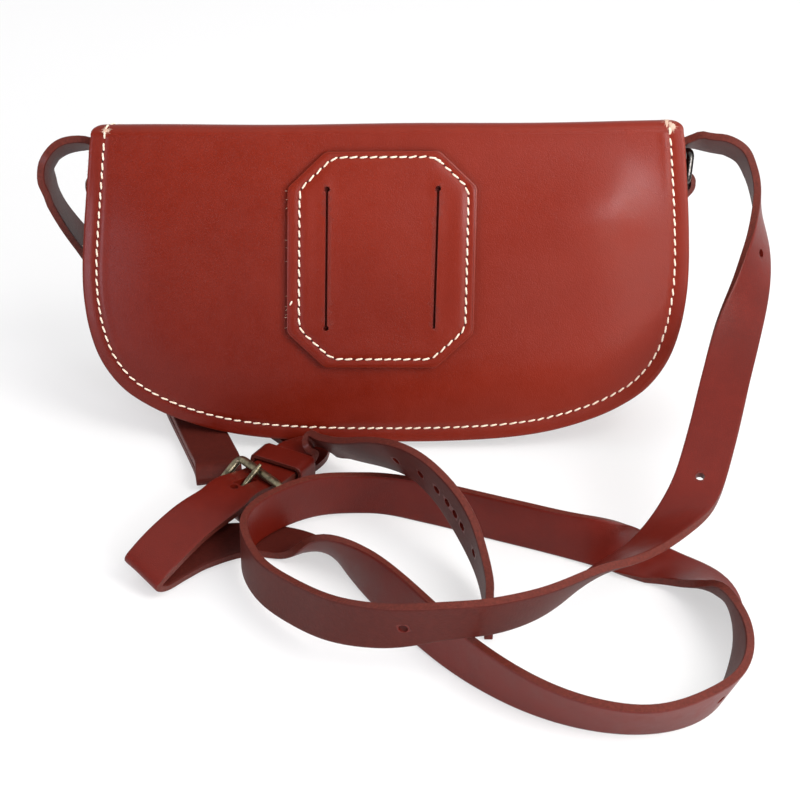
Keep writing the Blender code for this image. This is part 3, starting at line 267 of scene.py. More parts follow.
def resample(line, step):
    """Points an even distance apart along a line."""
    line = np.asarray(line, float)
    run = run_of(line)
    return place_at(line, run, np.linspace(0, run[-1], max(2, int(round(run[-1] / step)) + 1)))


SHARP = math.radians(50.0)
ROUND_SIDES = 20
TURNED_SIDES = 40
# The rounding of a cut edge: shares of its radius above its foot and outward
EDGE_ARC = ((1.0, 0.0), (0.92, 0.62), (0.72, 0.92))


# --- Mesh building -----------------------------------------------------------------------------------------------

def along_line(line, closed=False):
    """Unit directions along a line, or round a closed one."""
    return unit(np.roll(line, -1, axis=0) - np.roll(line, 1, axis=0) if closed else np.gradient(line, axis=0))


def band(a, b, count):
    """Faces between two rings of points that start at a and b."""
    return [(a + k, a + (k + 1) % count, b + (k + 1) % count, b + k) for k in range(count)]


def prism(low, high):
    """A closed prism between two equal rings, as (points, faces)."""
    count = len(low)
    return np.vstack([low, high]), band(0, count, count) + [list(range(count)), list(range(count, 2 * count))]


def new_object(name, points, faces, finish, marks=None, smooth=True, sharp=SHARP):
    """A mesh object with its rest places and its leather marks stored on the points."""
    mesh = bpy.data.meshes.new(name)
    points = np.asarray(points, float)
    mesh.from_pydata(points.tolist(), [], [tuple(int(i) for i in f) for f in faces])
    rest = mesh.attributes.new("rest", "FLOAT_VECTOR", "POINT")
    rest.data.foreach_set("vector", points.astype(np.float32).ravel())
    for mark, values in (marks or {}).items():
        layer = mesh.attributes.new(mark, "FLOAT", "POINT")
        layer.data.foreach_set("value", np.asarray(values, np.float32))
    made = bpy.data.objects.new(name, mesh)
    bpy.context.scene.collection.objects.link(made)
    for one in finish if isinstance(finish, list) else [finish]:
        mesh.materials.append(one)
    if smooth:
        mesh.shade_smooth()
        mesh.set_sharp_from_angle(angle=sharp)
    return made


def face_out(obj):
    """Turn all faces of a closed mesh outward."""
    shape = bmesh.new()
    shape.from_mesh(obj.data)
    bmesh.ops.recalc_face_normals(shape, faces=shape.faces)
    shape.to_mesh(obj.data)
    shape.free()


def grid_normals(grid, closed=False):
    """Unit normals of a grid of points."""
    along = np.roll(grid, -1, axis=0) - np.roll(grid, 1, axis=0) if closed else np.gradient(grid, axis=0)
    normal = np.cross(along, np.gradient(grid, axis=1))
    size = np.linalg.norm(normal, axis=2, keepdims=True)
    fallback = unit(normal.sum((0, 1)))
    return np.where(size > 1e-14, normal / np.maximum(size, 1e-14), fallback)


def facing(grid, spot, direction, closed=False):
    """Which way round the grid's grain side has to go to face a direction at one of its spots."""
    return 1 if float(grid_normals(grid, closed)[spot] @ direction) > 0 else -1


def leather(name, grid, thickness, finish, round_edges=(True, True), closed=False, hub=False, grain=1,
            radius=0.0008, dish=None):
    """A sheet of leather of even thickness round a grid of points on its middle surface.

    The second index runs across the sheet; the long edges at its ends are rounded where asked. The marks say how
    much of a point is cut edge and how much is flesh side. A hub closes the last row onto one point, and a dish
    says how far each spot of the grain side is pressed in.
    """
    grid = np.asarray(grid, float)
    rows, width = grid.shape[:2]
    normal = grid_normals(grid, closed) * grain
    half = thickness / 2
    radius = min(radius, half * 0.95)
    top, low = grid + normal * half, grid - normal * half
    if dish is not None:
        top = top - normal * dish[..., None]
    loops, edge, flesh = [], [], []

    def put(points, edge_mark, flesh_mark):
        loops.append(points)
        edge.append(np.full(rows, edge_mark))
        flesh.append(np.full(rows, flesh_mark))

    def arc(j, outward):
        """Three-step roundings at one long edge, from the grain side to the flesh side."""
        spots = [(half - radius + radius * lift, reach) for lift, reach in EDGE_ARC]
        for h, reach in spots + [(-h, reach) for h, reach in spots[::-1]]:
            point = grid[:, j] + normal[:, j] * h + outward * radius * (reach - 1)
            put(point, float(abs(h) < half * 0.9), float(h < -half * 0.9))

    span = range(1 if round_edges[0] else 0, width - 1 if round_edges[1] and not hub else width)
    for j in span:
        put(top[:, j], 0.0, 0.0)
    hub_break = len(loops)
    if round_edges[1] and not hub:
        arc(-1, unit(grid[:, -1] - grid[:, -2]))
    for j in reversed(span):
        put(low[:, j], 0.0, 1.0)
    if round_edges[0]:
        tail = slice(len(loops), len(loops) + 2 * len(EDGE_ARC))
        arc(0, unit(grid[:, 0] - grid[:, 1]))
        for listed in (loops, edge, flesh):
            listed[tail] = listed[tail][::-1]
    ring = len(loops)
    points = np.stack(loops, 1).reshape(rows * ring, 3)
    marks = {"edge": np.stack(edge, 1).ravel(), "flesh": np.stack(flesh, 1).ravel()}
    steps = [(i * ring, (i + 1) % rows * ring) for i in range(rows if closed else rows - 1)]
    faces = []
    for here, there in steps:
        faces += [(here + k, here + m, there + m, there + k) for k, m in zip(range(ring), [*range(1, ring), 0])
                  if not hub or k != hub_break - 1]
    if hub:
        base = len(points)
        centres = [points.reshape(rows, ring, 3)[:, k].mean(0) for k in (hub_break - 1, hub_break)]
        points = np.vstack([points, centres])
        marks = {key: np.append(value, (0, 1) if key == "flesh" else (0, 0)) for key, value in marks.items()}
        for here, there in steps:
            faces.append((here + hub_break - 1, base, there + hub_break - 1))
            faces.append((here + hub_break, there + hub_break, base + 1))
    if not closed:
        count = len(span)
        bend = 2 * len(EDGE_ARC) if round_edges[1] else 0
        for start in (0, (rows - 1) * ring):
            for k in range(count - 1):
                far = start + 2 * count - 1 - k + bend
                faces.append((start + k, start + k + 1, far - 1, far))
            if round_edges[1]:
                faces.append([start + k for k in range(count - 1, count + bend + 1)])
            if round_edges[0]:
                last = 2 * count + bend
                faces.append([start + k for k in range(last - 1, last + 2 * len(EDGE_ARC))] + [start])
    made = new_object(name, points, faces, finish, marks)
    face_out(made)
    return made


def sweep(path, radii, sides, closed=False, ridges=0.0):
    """Points and faces of a tube along a path; a small ridge turns round it like the plies of a thread."""
    path = np.asarray(path, float)
    count = len(path)
    radii = np.broadcast_to(np.asarray(radii, float), (count,))
    along = along_line(path, closed)
    side = np.cross(along[0], (0, 0, 1) if abs(along[0][2]) < 0.9 else (1, 0, 0))
    sides_list = []
    for k in range(count):
        side = unit(side - along[k] * float(side @ along[k]))
        sides_list.append(side)
    side = np.array(sides_list)
    up = np.cross(along, side)
    if closed:
        back = math.atan2(float(side[-1] @ up[0]), float(side[-1] @ side[0]))
        turn = -np.linspace(0, back, count, endpoint=False)[:, None]
        side, up = side * np.cos(turn) + up * np.sin(turn), up * np.cos(turn) - side * np.sin(turn)
    points = []
    for k in range(count):
        for s in range(sides):
            a = 2 * math.pi * s / sides
            r = radii[k] * (1 + ridges * math.cos(2 * (a + k * 0.9)))
            points.append(path[k] + side[k] * math.cos(a) * r + up[k] * math.sin(a) * r)
    faces = []
    for k in range(count if closed else count - 1):
        faces += band(k * sides, (k + 1) % count * sides, sides)
    if not closed:
        faces.append(list(range(sides))[::-1])
        faces.append([(count - 1) * sides + s for s in range(sides)])
    return np.array(points), faces


def merged(name, parts, finish, smooth=True):
    """One object from many (points, faces, material index) parts; the index may be left out."""
    points, faces, slots = [], [], []
    base = 0
    for p, f, *slot in parts:
        points.append(p)
        faces += [[i + base for i in face] for face in f]
        slots += (slot or [0]) * len(f)
        base += len(p)
    made = new_object(name, np.vstack(points), faces, finish, smooth=smooth)
    made.data.polygons.foreach_set("material_index", slots)
    face_out(made)
    return made


def turned(name, profile, seat, axis, finish):
    """A turned piece: (radius, height) pairs from top to bottom along the axis."""
    axis = unit(axis)
    steps = TURNED_SIDES
    side = unit(np.cross(axis, (0, 0, 1) if abs(axis[2]) < 0.9 else (1, 0, 0)))
    up = np.cross(axis, side)
    points = [np.asarray(seat) + axis * profile[0][1]]
    for r, h in profile[1:-1]:
        for k in range(steps):
            a = 2 * math.pi * k / steps
            points.append(np.asarray(seat) + axis * h + (side * math.cos(a) + up * math.sin(a)) * r)
    points.append(np.asarray(seat) + axis * profile[-1][1])
    rings = len(profile) - 2
    faces = []
    for k in range(steps):
        m = (k + 1) % steps
        faces.append((0, 1 + k, 1 + m))
        for a in range(1, 1 + (rings - 1) * steps, steps):
            faces.append((a + k, a + steps + k, a + steps + m, a + m))
        faces.append((len(points) - 1, 1 + (rings - 1) * steps + m, 1 + (rings - 1) * steps + k))
    made = new_object(name, points, faces, finish, sharp=math.radians(35.0))
    face_out(made)
    return made


def cut(obj, parts):
    """Take closed shapes, given as (points, faces), away from a piece and keep its marks."""
    finish = obj.data.materials[0]
    shape = merged("cutter", parts, finish, smooth=False)
    boolean = obj.modifiers.new("cut", "BOOLEAN")
    boolean.operation = "DIFFERENCE"
    boolean.solver = "EXACT"
    boolean.object = shape
    graph = bpy.context.evaluated_depsgraph_get()
    mesh = bpy.data.meshes.new_from_object(obj.evaluated_get(graph), preserve_all_data_layers=True, depsgraph=graph)
    obj.modifiers.remove(boolean)
    obj.data = mesh
    mesh.materials.clear()
    mesh.materials.append(finish)
    mesh.polygons.foreach_set("material_index", [0] * len(mesh.polygons))
    bpy.data.objects.remove(shape, do_unlink=True)
    mesh.set_sharp_from_angle(angle=SHARP)


def open_slot(obj, width, rows, lanes):
    """Open a slot through a strip made by leather(), between two of its rows and two of its lanes."""
    shape = bmesh.new()
    shape.from_mesh(obj.data)
    shape.verts.ensure_lookup_table()
    count = width - 2
    bend = 2 * len(EDGE_ARC)
    ring = 2 * (count + bend)

    def spots(i, low):
        """The two corners of the slot's lanes at row i, on one side."""
        return [shape.verts[i * ring + (count + bend + width - 2 - j if low else j - 1)] for j in lanes]

    first, last = rows
    for i in range(first, last):
        for low in (False, True):
            corners = set(spots(i, low) + spots(i + 1, low))
            shape.faces.remove(next(f for f in spots(i, low)[0].link_faces if set(f.verts) == corners))
        for a, b, c, d in zip(spots(i, False), spots(i + 1, False), spots(i + 1, True), spots(i, True)):
            shape.faces.new((a, b, c, d))
    for i in rows:
        shape.faces.new(spots(i, False) + spots(i, True)[::-1])
    for i in range(first + 1, last):
        for low in (False, True):
            edge = shape.edges.get(spots(i, low))
            if edge is not None and not edge.link_faces:
                shape.edges.remove(edge)
    shape.to_mesh(obj.data)
    shape.free()
    face_out(obj)
    obj.data.set_sharp_from_angle(angle=SHARP)


def pin(centre, axis, diameter, length):
    """A closed cylinder as (points, faces)."""
    axis = unit(axis)
    ends = np.array([np.asarray(centre) - axis * length / 2, np.asarray(centre) + axis * length / 2])
    return sweep(ends, diameter / 2, ROUND_SIDES)


def block(centre, axes, sizes):
    """A closed box as (points, faces), from three unit axes and its sizes along them."""
    signs = [(x, y, z) for x in (-1, 1) for y in (-1, 1) for z in (-1, 1)]
    points = [np.asarray(centre) + sum(np.asarray(a) * s * w / 2 for a, s, w in zip(axes, sign, sizes))
              for sign in signs]
    return np.array(points), [(0, 1, 3, 2), (4, 6, 7, 5), (0, 4, 5, 1), (2, 3, 7, 6), (0, 2, 6, 4), (1, 5, 7, 3)]


def settled(points):
    """The bag leans a hair to the right and stands higher at its top right corner, as worked leather does."""
    points = np.array(points, float)
    x, z = points[:, 0], points[:, 2]
    inside = 1 - ease((np.abs(x) - 0.1285) / 0.007)
    lift = 0.00095 * (1 + np.clip(x / 0.12, -1, 1)) * ease((z - 0.05) / 0.075) * inside
    points[:, 0] += 0.0012 * ease((z - 0.035) / 0.09)
    points[:, 2] += lift
    return points


def settle(obj):
    """Give a mesh the lean of the whole bag."""
    mesh = obj.data
    flat = np.empty(len(mesh.vertices) * 3)
    mesh.vertices.foreach_get("co", flat)
    mesh.vertices.foreach_set("co", settled(flat.reshape(-1, 3)).ravel())
    mesh.update()


def finish_piece(obj, body, slot, nodes=(), bend=None):
    """Settle a piece with the bag's lean and hide the CAD nodes that it stands for; the slot is not used. It rides on
    its body, or, where a bend is given, has its place baked into its mesh."""
    settle(obj)
    if bend:
        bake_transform(obj)
    else:
        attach(obj, body)
    if nodes:
        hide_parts(*nodes)


# --- Materials ---------------------------------------------------------------------------------------------------

def dimmed(colour, share):
    """A darker colour."""
    return tuple(c * share for c in colour)


class Wiring:
    """Short ways to add nodes to a tree."""

    def __init__(self, owner):
        owner.use_nodes = True
        self.tree = owner.node_tree

    def node(self, kind, inputs=None, **settings):
        """A new node with its settings, its inputs linked or given a value."""
        made = self.tree.nodes.new("ShaderNode" + kind)
        for key, value in settings.items():
            setattr(made, key, value)
        for key, value in (inputs or {}).items():
            self.feed(made.inputs[key], value)
        return made

    def feed(self, socket, value):
        """Link a socket, or give it a value."""
        if isinstance(value, bpy.types.NodeSocket):
            self.tree.links.new(value, socket)
        else:
            socket.default_value = value

    def span(self, value, low, high, to_low=0.0, to_high=1.0):
        """A value moved from one range to another, and held inside it."""
        return self.node("MapRange", {"Value": value, "From Min": low, "From Max": high, "To Min": to_low,
                                      "To Max": to_high}).outputs["Result"]

    def maths(self, operation, a, b, **settings):
        """Two values combined."""
        return self.node("Math", {0: a, 1: b}, operation=operation, **settings).outputs[0]

    def blend(self, share, a, b):
        """Two colours mixed."""
        a, b = ((*c, 1.0) if isinstance(c, tuple) else c for c in (a, b))
        return self.node("Mix", {0: share, 6: a, 7: b}, data_type="RGBA").outputs[2]


class Shader(Wiring):
    """A Principled material and short ways to wire its nodes."""

    def __init__(self, name, roughness=0.5, metallic=0.0, **sockets):
        self.material = bpy.data.materials.new(name)
        super().__init__(self.material)
        self.bsdf = self.tree.nodes["Principled BSDF"]
        for key, value in {"Roughness": roughness, "Metallic": metallic, **sockets}.items():
            self.bsdf.inputs[key.replace("_", " ")].default_value = value
        self.place = self.mark("rest", "Vector")

    def mark(self, name, output="Fac"):
        """A value stored on the mesh."""
        return self.node("Attribute", attribute_name=name).outputs[output]

    def noise(self, scale, detail=3.0, roughness=0.55, distortion=0.0):
        """Noise from nought to one, fixed to the rest places."""
        return self.node("TexNoise", {"Vector": self.place, "Scale": scale, "Detail": detail, "Roughness": roughness,
                                      "Distortion": distortion}).outputs["Fac"]

    def relief(self, height, distance, strength=1.0, below=None):
        """A bump of the given height in metres."""
        inputs = {"Height": height, "Distance": distance, "Strength": strength}
        if below is not None:
            inputs["Normal"] = below
        return self.node("Bump", inputs).outputs["Normal"]

    def join(self, colour, roughness=None, normal=None):
        """Wire the results to the shader."""
        for key, value in (("Base Color", colour), ("Roughness", roughness), ("Normal", normal)):
            if value is not None:
                self.feed(self.bsdf.inputs[key], value)
        return self.material


def leather_material(name, light, deep, edge, flesh, gloss, flesh_gloss, painted_light_share=0.0):
    """Waxed leather: clouded grain side with fine pores, darker rubbed edges, and a matt fibrous flesh side. Where
    asked, painted light and shade darken the grain side towards the lower left and lighten it towards the upper right.
    """
    s = Shader(name, Coat_Weight=0.10, Coat_Roughness=0.22)
    cloud = s.noise(21.0, 5.0, 0.6)
    mottle = s.noise(160.0, 4.0, 0.65)
    tone = s.maths("ADD", s.span(cloud, 0.34, 0.68, 0.0, 0.8), s.span(mottle, 0.35, 0.7, -0.1, 0.22))
    # Painted light and shade: the grain side's tone falls towards the lower left and rises towards the upper right, by
    # the given share
    if painted_light_share:
        spot = s.node("SeparateXYZ", {0: s.place}).outputs
        rise = s.maths("ADD", spot["X"], s.maths("MULTIPLY", spot["Z"], 1.2))
        tone = s.maths("ADD", s.maths("MULTIPLY", tone, 1.0 - painted_light_share), s.span(rise, -0.075, 0.11, 0.0, painted_light_share))
    hide = s.blend(s.span(tone, 0.0, 1.0), deep, light)
    pores = s.node("TexVoronoi", {"Vector": s.place, "Scale": 2100.0, "Randomness": 1.0}, feature="F1")
    pores = pores.outputs["Distance"]
    grain = s.noise(1500.0, 3.0, 0.6)
    hide = s.blend(s.span(pores, 0.0, 0.22, 0.22, 0.0), hide, dimmed(deep, 0.55))
    fibres = s.noise(900.0, 5.0, 0.7)
    cut_edge = s.blend(s.span(fibres, 0.3, 0.7), dimmed(edge, 0.55), edge)
    is_edge = s.span(s.mark("edge"), 0.35, 0.95)
    is_flesh = s.span(s.mark("flesh"), 0.35, 0.65)
    rough_side = s.maths("MAXIMUM", is_flesh, is_edge)
    suede = s.blend(s.span(s.noise(420.0, 6.0, 0.7), 0.3, 0.7), dimmed(flesh, 0.72), flesh)
    suede = s.blend(s.span(cloud, 0.3, 0.7, 0.0, 0.35), suede, dimmed(flesh, 0.62))
    colour = s.blend(is_edge, s.blend(is_flesh, hide, suede), cut_edge)
    shine = s.span(s.maths("ADD", mottle, s.span(grain, 0.0, 1.0, -0.2, 0.2)), 0.2, 0.8, gloss - 0.07, gloss + 0.09)
    dull = s.maths("MAXIMUM", s.maths("MULTIPLY", is_flesh, flesh_gloss), s.maths("MULTIPLY", is_edge, 0.58))
    s.feed(s.bsdf.inputs["Specular IOR Level"], s.span(rough_side, 0.0, 1.0, 0.20, 0.13))
    skin = s.relief(s.maths("ADD", s.span(pores, 0.0, 0.5), s.maths("MULTIPLY", grain, 0.8)), 0.000075, 0.60)
    creases = s.relief(s.noise(480.0, 3.0, 0.6, 0.8), 0.00010, 0.28, skin)
    waves = s.relief(s.noise(55.0, 3.0, 0.5, 0.3), 0.00035, 0.30, creases)
    rubbed = s.relief(s.maths("MULTIPLY", fibres, rough_side), 0.00022, 0.7, waves)
    return s.join(colour, s.maths("MAXIMUM", shine, dull), rubbed)


# The panel's hide carries painted light and shade: darker lower left, lighter upper right
PANEL_HIDE = leather_material("panel_hide", (0.192, 0.0148, 0.0045), (0.098, 0.0046, 0.0007), (0.130, 0.022, 0.010),
                              (0.160, 0.050, 0.032), 0.36, 0.80, 0.75)
STRAP_HIDE = leather_material("strap_hide", (0.132, 0.0080, 0.0030), (0.092, 0.0052, 0.0018), (0.130, 0.0230, 0.0150),
                              (0.088, 0.0120, 0.0075), 0.42, 0.62)


def thread_material():
    """Waxed cream linen, a little dirty in its twist."""
    s = Shader("thread_linen", roughness=0.62, Sheen_Weight=0.2)
    colour = s.blend(s.span(s.noise(700.0, 4.0, 0.6), 0.35, 0.7), (0.78, 0.63, 0.47), (0.93, 0.82, 0.67))
    return s.join(colour, None, s.relief(s.noise(5200.0, 2.0), 0.00006, 0.6))


def metal_material(name, bright, dark, roughness, patina):
    """Plated metal with a worn, blotched finish."""
    s = Shader(name, metallic=1.0)
    blotch = s.noise(420.0, 5.0, 0.65)
    fine = s.noise(2600.0, 3.0, 0.6)
    colour = s.blend(s.span(blotch, 0.38, 0.62, 0.0, patina), bright, dark)
    worn = s.maths("ADD", blotch, s.maths("MULTIPLY", fine, 0.4))
    return s.join(colour, s.span(worn, 0.4, 1.0, roughness - 0.07, roughness + 0.15), s.relief(fine, 0.00003, 0.35))


def plain_material(name, colour, roughness):
    """A quiet material with a little mottling."""
    s = Shader(name, roughness=roughness)
    return s.join(s.blend(s.noise(1200.0, 4.0), dimmed(colour, 0.6), colour))


THREAD = thread_material()
RING_METAL = metal_material("ring_metal", (0.11, 0.105, 0.10), (0.045, 0.043, 0.042), 0.24, 0.8)
BRASS = metal_material("buckle_brass", (0.30, 0.26, 0.17), (0.085, 0.075, 0.050), 0.34, 0.9)
# Painted shade: the awl holes' dark colour stands for the shade inside the holes
AWL_HOLE_SHADE = plain_material("awl_hole_painted_shade", (0.020, 0.0035, 0.0022), 0.9)
RAW_FIBRE = plain_material("raw_fibre", (0.72, 0.50, 0.38), 0.9)


# --- Camera and straps -------------------------------------------------------------------------------------------

# The camera as matched to the photograph: millimetres of lens and sensor, place, and tilt from straight down
LENS = 82.62
SENSOR = 36.0
CAMERA_PLACE = (0.0065, -0.7021, 0.4084)
CAMERA_TILT = math.radians(60.0)


def build_camera():
    """The photograph's camera: 30 degrees above the floor, straight along +Y."""
    data = bpy.data.cameras.new("photo_camera")
    data.lens = LENS
    data.sensor_width = SENSOR
    camera = bpy.data.objects.new("photo_camera", data)
    camera.location = CAMERA_PLACE
    camera.rotation_euler = (CAMERA_TILT, 0.0, 0.0)
    bpy.context.scene.collection.objects.link(camera)
    bpy.context.scene.camera = camera


# How far each wrap is drawn in towards the bag, and how much less at each side
TUCK = 0.0031
WRAP_EASES = {1: 0.0, -1: 0.0006}
CURVE_STEPS = 16
# Evening out: its greatest reach along the strap, the length over which it fades, and the least worth doing
SOFT_REACH = 0.0065
SOFT_FADE = 0.016
SOFT_LEAST = 0.0004
# The greatest distance and turn from one row of the strap's mesh to the next
STATION = 0.0022
STATION_TURN = math.radians(5.0)
# Places across a strap, and across a narrow strip, in shares of the width
LANES = np.array([-0.5, -0.425, -0.28, -0.11, 0.11, 0.28, 0.425, 0.5])
NARROW_LANES = np.array([-0.5, -0.43, -0.2, 0.2, 0.43, 0.5])


def tucked(route):
    """The route in metres, its wrap round the ring drawn in towards the bag and moved with the ring."""
    points = np.array(route) / ROUTE_UNITS
    side = int(np.sign(points[0, 0]))
    share = 1 - ease((np.arange(len(points)) - 1) / 5)
    points[:, :3] += np.outer(share, np.array([side * (WRAP_EASES[side] - TUCK), 0, 0]) + SIDE_SHIFTS[side])
    return points


def softened(curve, spans):
    """The curve with its swing and twist evened out inside the spans, fading to none at their ends."""
    run = run_of(curve[:, :3])
    share = np.gradient(run)
    size = np.zeros(len(run))
    for first, last in spans:
        low, high = run[first * CURVE_STEPS], run[min(last * CURVE_STEPS, len(run) - 1)]
        size = np.maximum(size, SOFT_REACH * ease(np.minimum(run - low, high - run) / SOFT_FADE))
    rows = np.nonzero(size > SOFT_LEAST)[0]

    def evened(values):
        out = values.copy()
        for k in rows:
            weight = share * np.exp(-((run - run[k]) / size[k]) ** 2 / 2)
            out[k] = weight @ values / weight.sum()
        return out

    first = evened(curve)
    return first + evened(curve - first)


def strap_stations(route, spans):
    """Centre, across and face directions along a strap, closer together where it bends."""
    curve = catmull(tucked(route), CURVE_STEPS)
    run = run_of(curve[:, :3])
    curve = softened(curve, spans)
    centre = curve[:, :3]
    along = along_line(centre)
    across = unit(curve[:, 3:] - (curve[:, 3:] * along).sum(1)[:, None] * along)
    face = np.cross(along, across)
    floor = abs(across[:, 2]) * STRAP_W / 2 + abs(face[:, 2]) * STRAP_T / 2 + GAP
    centre[:, 2] = np.maximum(centre[:, 2], floor)
    kept = [0]
    for k in range(1, len(curve)):
        last = kept[-1]
        turns = [math.acos(min(1, float(way[k] @ way[last]))) for way in (face, along)]
        if np.linalg.norm(centre[k] - centre[last]) > STATION or max(turns) > STATION_TURN:
            kept.append(k)
    kept[-1] = len(curve) - 1
    return centre[kept], across[kept], face[kept], run[kept]


def strap_place(stations, distance):
    """Centre, direction along and face direction at a distance along the strap, its tail held fast."""
    centre, _, face, run = stations
    distance += run[-1] - ROUTE_LENGTH
    k = int(np.clip(np.searchsorted(run, distance), 1, len(run) - 1))
    share = (distance - run[k - 1]) / (run[k] - run[k - 1])
    spot = centre[k - 1] + (centre[k] - centre[k - 1]) * share
    return spot, unit(centre[k] - centre[k - 1]), unit(face[k - 1] + face[k])


def build_strap(name, stations, grain):
    """A flat strap along its stations."""
    centre, across, _, _ = stations
    grid = centre[:, None] + across[:, None] * (LANES * STRAP_W)[None, :, None]
    return leather(name, grid, STRAP_T, STRAP_HIDE, grain=grain, radius=0.0009)


def slot_block(centre, along, face, length, width, depth):
    """A box-shaped slot through a strap's face."""
    face = unit(face - along * float(along @ face))
    return block(centre, (along, np.cross(face, along), face), (length, width, depth))


def level_axes(yaw):
    """A level direction and the one to its right."""
    toward = np.array([math.cos(yaw), math.sin(yaw), 0])
    return toward, np.array([toward[1], -toward[0], 0])


def buckle_axes():
    """Heel bar centre and the direction across the buckle."""
    toward, across = level_axes(BUCKLE_YAW)
    return np.array([BUCKLE_X, BUCKLE_Y, BUCKLE_HEEL_Z]) - toward * BUCKLE_LENGTH, across


def build_straps():
    """Both straps and their lines, the long one punched and the short one open in its fold for the prong."""
    stations = strap_stations(LONG_ROUTE, LONG_SOFT)
    holes = []
    for distance in LONG_HOLES:
        spot, _, face = strap_place(stations, distance)
        holes.append(pin(spot, face, STRAP_HOLE_D, STRAP_T * 2.5))
    spot, along, face = strap_place(stations, PRONG_HOLE_AT)
    holes.append(slot_block(spot, along, face, PRONG_SLOT, STRAP_HOLE_D + 2 * PRONG_CLEAR, STRAP_T * 2.5))
    long_strap, long_line = build_strap("strap_long", stations, 1), stations[0]
    cut(long_strap, holes)
    stations = strap_stations(SHORT_ROUTE, SHORT_SOFT)
    short_strap, short_line = build_strap("strap_short", stations, -1), stations[0]
    near = np.nonzero(np.linalg.norm(short_line - buckle_axes()[0], axis=1) < PRONG_SLOT * 1.1)[0]
    open_slot(short_strap, len(LANES), (int(near[0]), min(int(near[-1]), len(short_line) - 2)), (3, 4))
    finish_piece(long_strap, "bag", "strap_leather", ["long_strap"])
    finish_piece(short_strap, "bag", "strap_leather", ["short_strap"])
    return long_strap, settled(long_line), short_strap, settled(short_line)


# --- Bag ---------------------------------------------------------------------------------------------------------

def panel_outline(height, hem):
    """The panel's U outline in its own plane, from the top right down, round and up to the top left."""
    half = [(x * PANEL_W / 2, min(v * height, hem)) for x, v in PANEL_OUTLINE_SHARES]
    points = half[::-1] + [(-x, v) for x, v in half[1:]]
    return catmull(points, 8)


def edge_distance(points, outline):
    """How far each point lies from the outline."""
    a, b = outline[:-1], outline[1:]
    ab = b - a
    size = (ab ** 2).sum(1)
    out = []
    for part in np.array_split(np.atleast_2d(points), max(1, len(points) // 4000)):
        p = part[:, None]
        t = np.clip(((p - a) * ab).sum(2) / size, 0, 1)
        out.append(np.linalg.norm(p - (a + ab * t[..., None]), axis=2).min(1))
    return np.concatenate(out)


def right_of(line):
    """Unit vectors to the right of a flat line."""
    along = along_line(line)
    return np.stack([along[:, 1], -along[:, 0]], 1)


def inward_of(outline, height):
    """Unit vectors into a U-shaped sheet, level near its open top so that its rows end on the top edge."""
    level = np.stack([-np.sign(outline[:, 0]), np.zeros(len(outline))], 1)
    share = ease((outline[:, 1] / height - 0.84) / 0.10)[:, None]
    return unit(right_of(outline) * (1 - share) + level * share)


INSETS = (0.0, 0.0016, 0.0027, 0.0038, 0.0046, 0.0052, 0.0057, 0.0061, 0.0066, 0.0072, 0.0080, 0.0090, 0.0103,
          0.0120, 0.0140, 0.0165, 0.0195, 0.0230)


FAR_ROWS = 22
PANEL_STEP = 0.0012
DROP_STEP = 0.0016
GUSSET_STEP = 0.0022


def u_grid(outline, height, step):
    """A grid over a U-shaped sheet: its first row on the outline, its last along the open top edge."""
    line = resample(outline, step)
    inward = inward_of(line, height)
    near = [line + inward * inset for inset in INSETS]
    share = run_of(line) / run_of(line)[-1]
    half = line[0][0] - INSETS[-1] - 0.012
    target = np.stack([half * (1 - 2 * share), np.full(len(line), height)], 1)
    far = [near[-1] * (1 - t) + target * t for t in np.linspace(0, 1, FAR_ROWS + 1)[1:]]
    return np.stack(near + far, 1)


# Soft ridges and one groove along a panel's rim: height, distance from the rim, width
SEAM_RIDGES = ((-0.00022, SEAM_INSET, 0.0010), (0.00016, SEAM_INSET + 0.0024, 0.0014), (0.00010, 0.0030, 0.0016))


class Panel:
    """A body panel: a leaning plane on its outer face, and the soft relief of worked leather on it."""

    def __init__(self, height, hem, base_y, base_z, lean, side, bulge):
        self.height = height
        self.hem = hem
        self.base = np.array([0, base_y, base_z])
        self.up = np.array([0, math.sin(lean), math.cos(lean)])
        self.out = np.array([0, side * math.cos(lean), -side * math.sin(lean)])
        self.bulge = bulge
        self.outline = panel_outline(height, hem)

    def swell(self, points):
        """Height of the outer face over its plane: filled out inside the seam, with broad soft waves."""
        x, v = points[:, 0], points[:, 1]
        inset = edge_distance(points, self.outline)
        top = ease((self.hem - v) / TOP_RAMP)
        field = np.maximum(inset - SEAM_INSET, 0)
        lift = self.bulge * (0.40 * ease(inset / BULGE_RAMP) + 0.60 * (1 - np.exp(-field / 0.0085)))
        rise = lift * top
        rise += self.relief(x, v, inset) * top
        for size, middle, width in SEAM_RIDGES:
            rise += size * bump((inset - middle) / width)
        rise -= self.droop(x) * ease(1 - inset / SEAM_INSET) * top
        return rise

    def droop(self, x):
        """How far the rim falls back outside the seam: more on the left, a little forward on the right."""
        return 0.0009 * ease(-(x + 0.045) / 0.05) - 0.00025 * ease((x - 0.045) / 0.05)

    def relief(self, *_):
        """Broad waves, none on a plain panel."""
        return 0.0

    def at(self, points, depth=0.0, follow=True):
        """Row-frame places of (x, v) points, the given depth behind the outer face."""
        points = np.atleast_2d(np.asarray(points, float))
        rise = (self.swell(points) if follow else np.zeros(len(points))) - depth
        flat = self.base + np.outer(points[:, 0], (1, 0, 0)) + np.outer(points[:, 1], self.up)
        return flat + np.outer(rise, self.out)

    def raised(self, points, lifts):
        """Places of (x, v) points, lifted off the outer face."""
        return self.at(points) + np.outer(lifts, self.out)


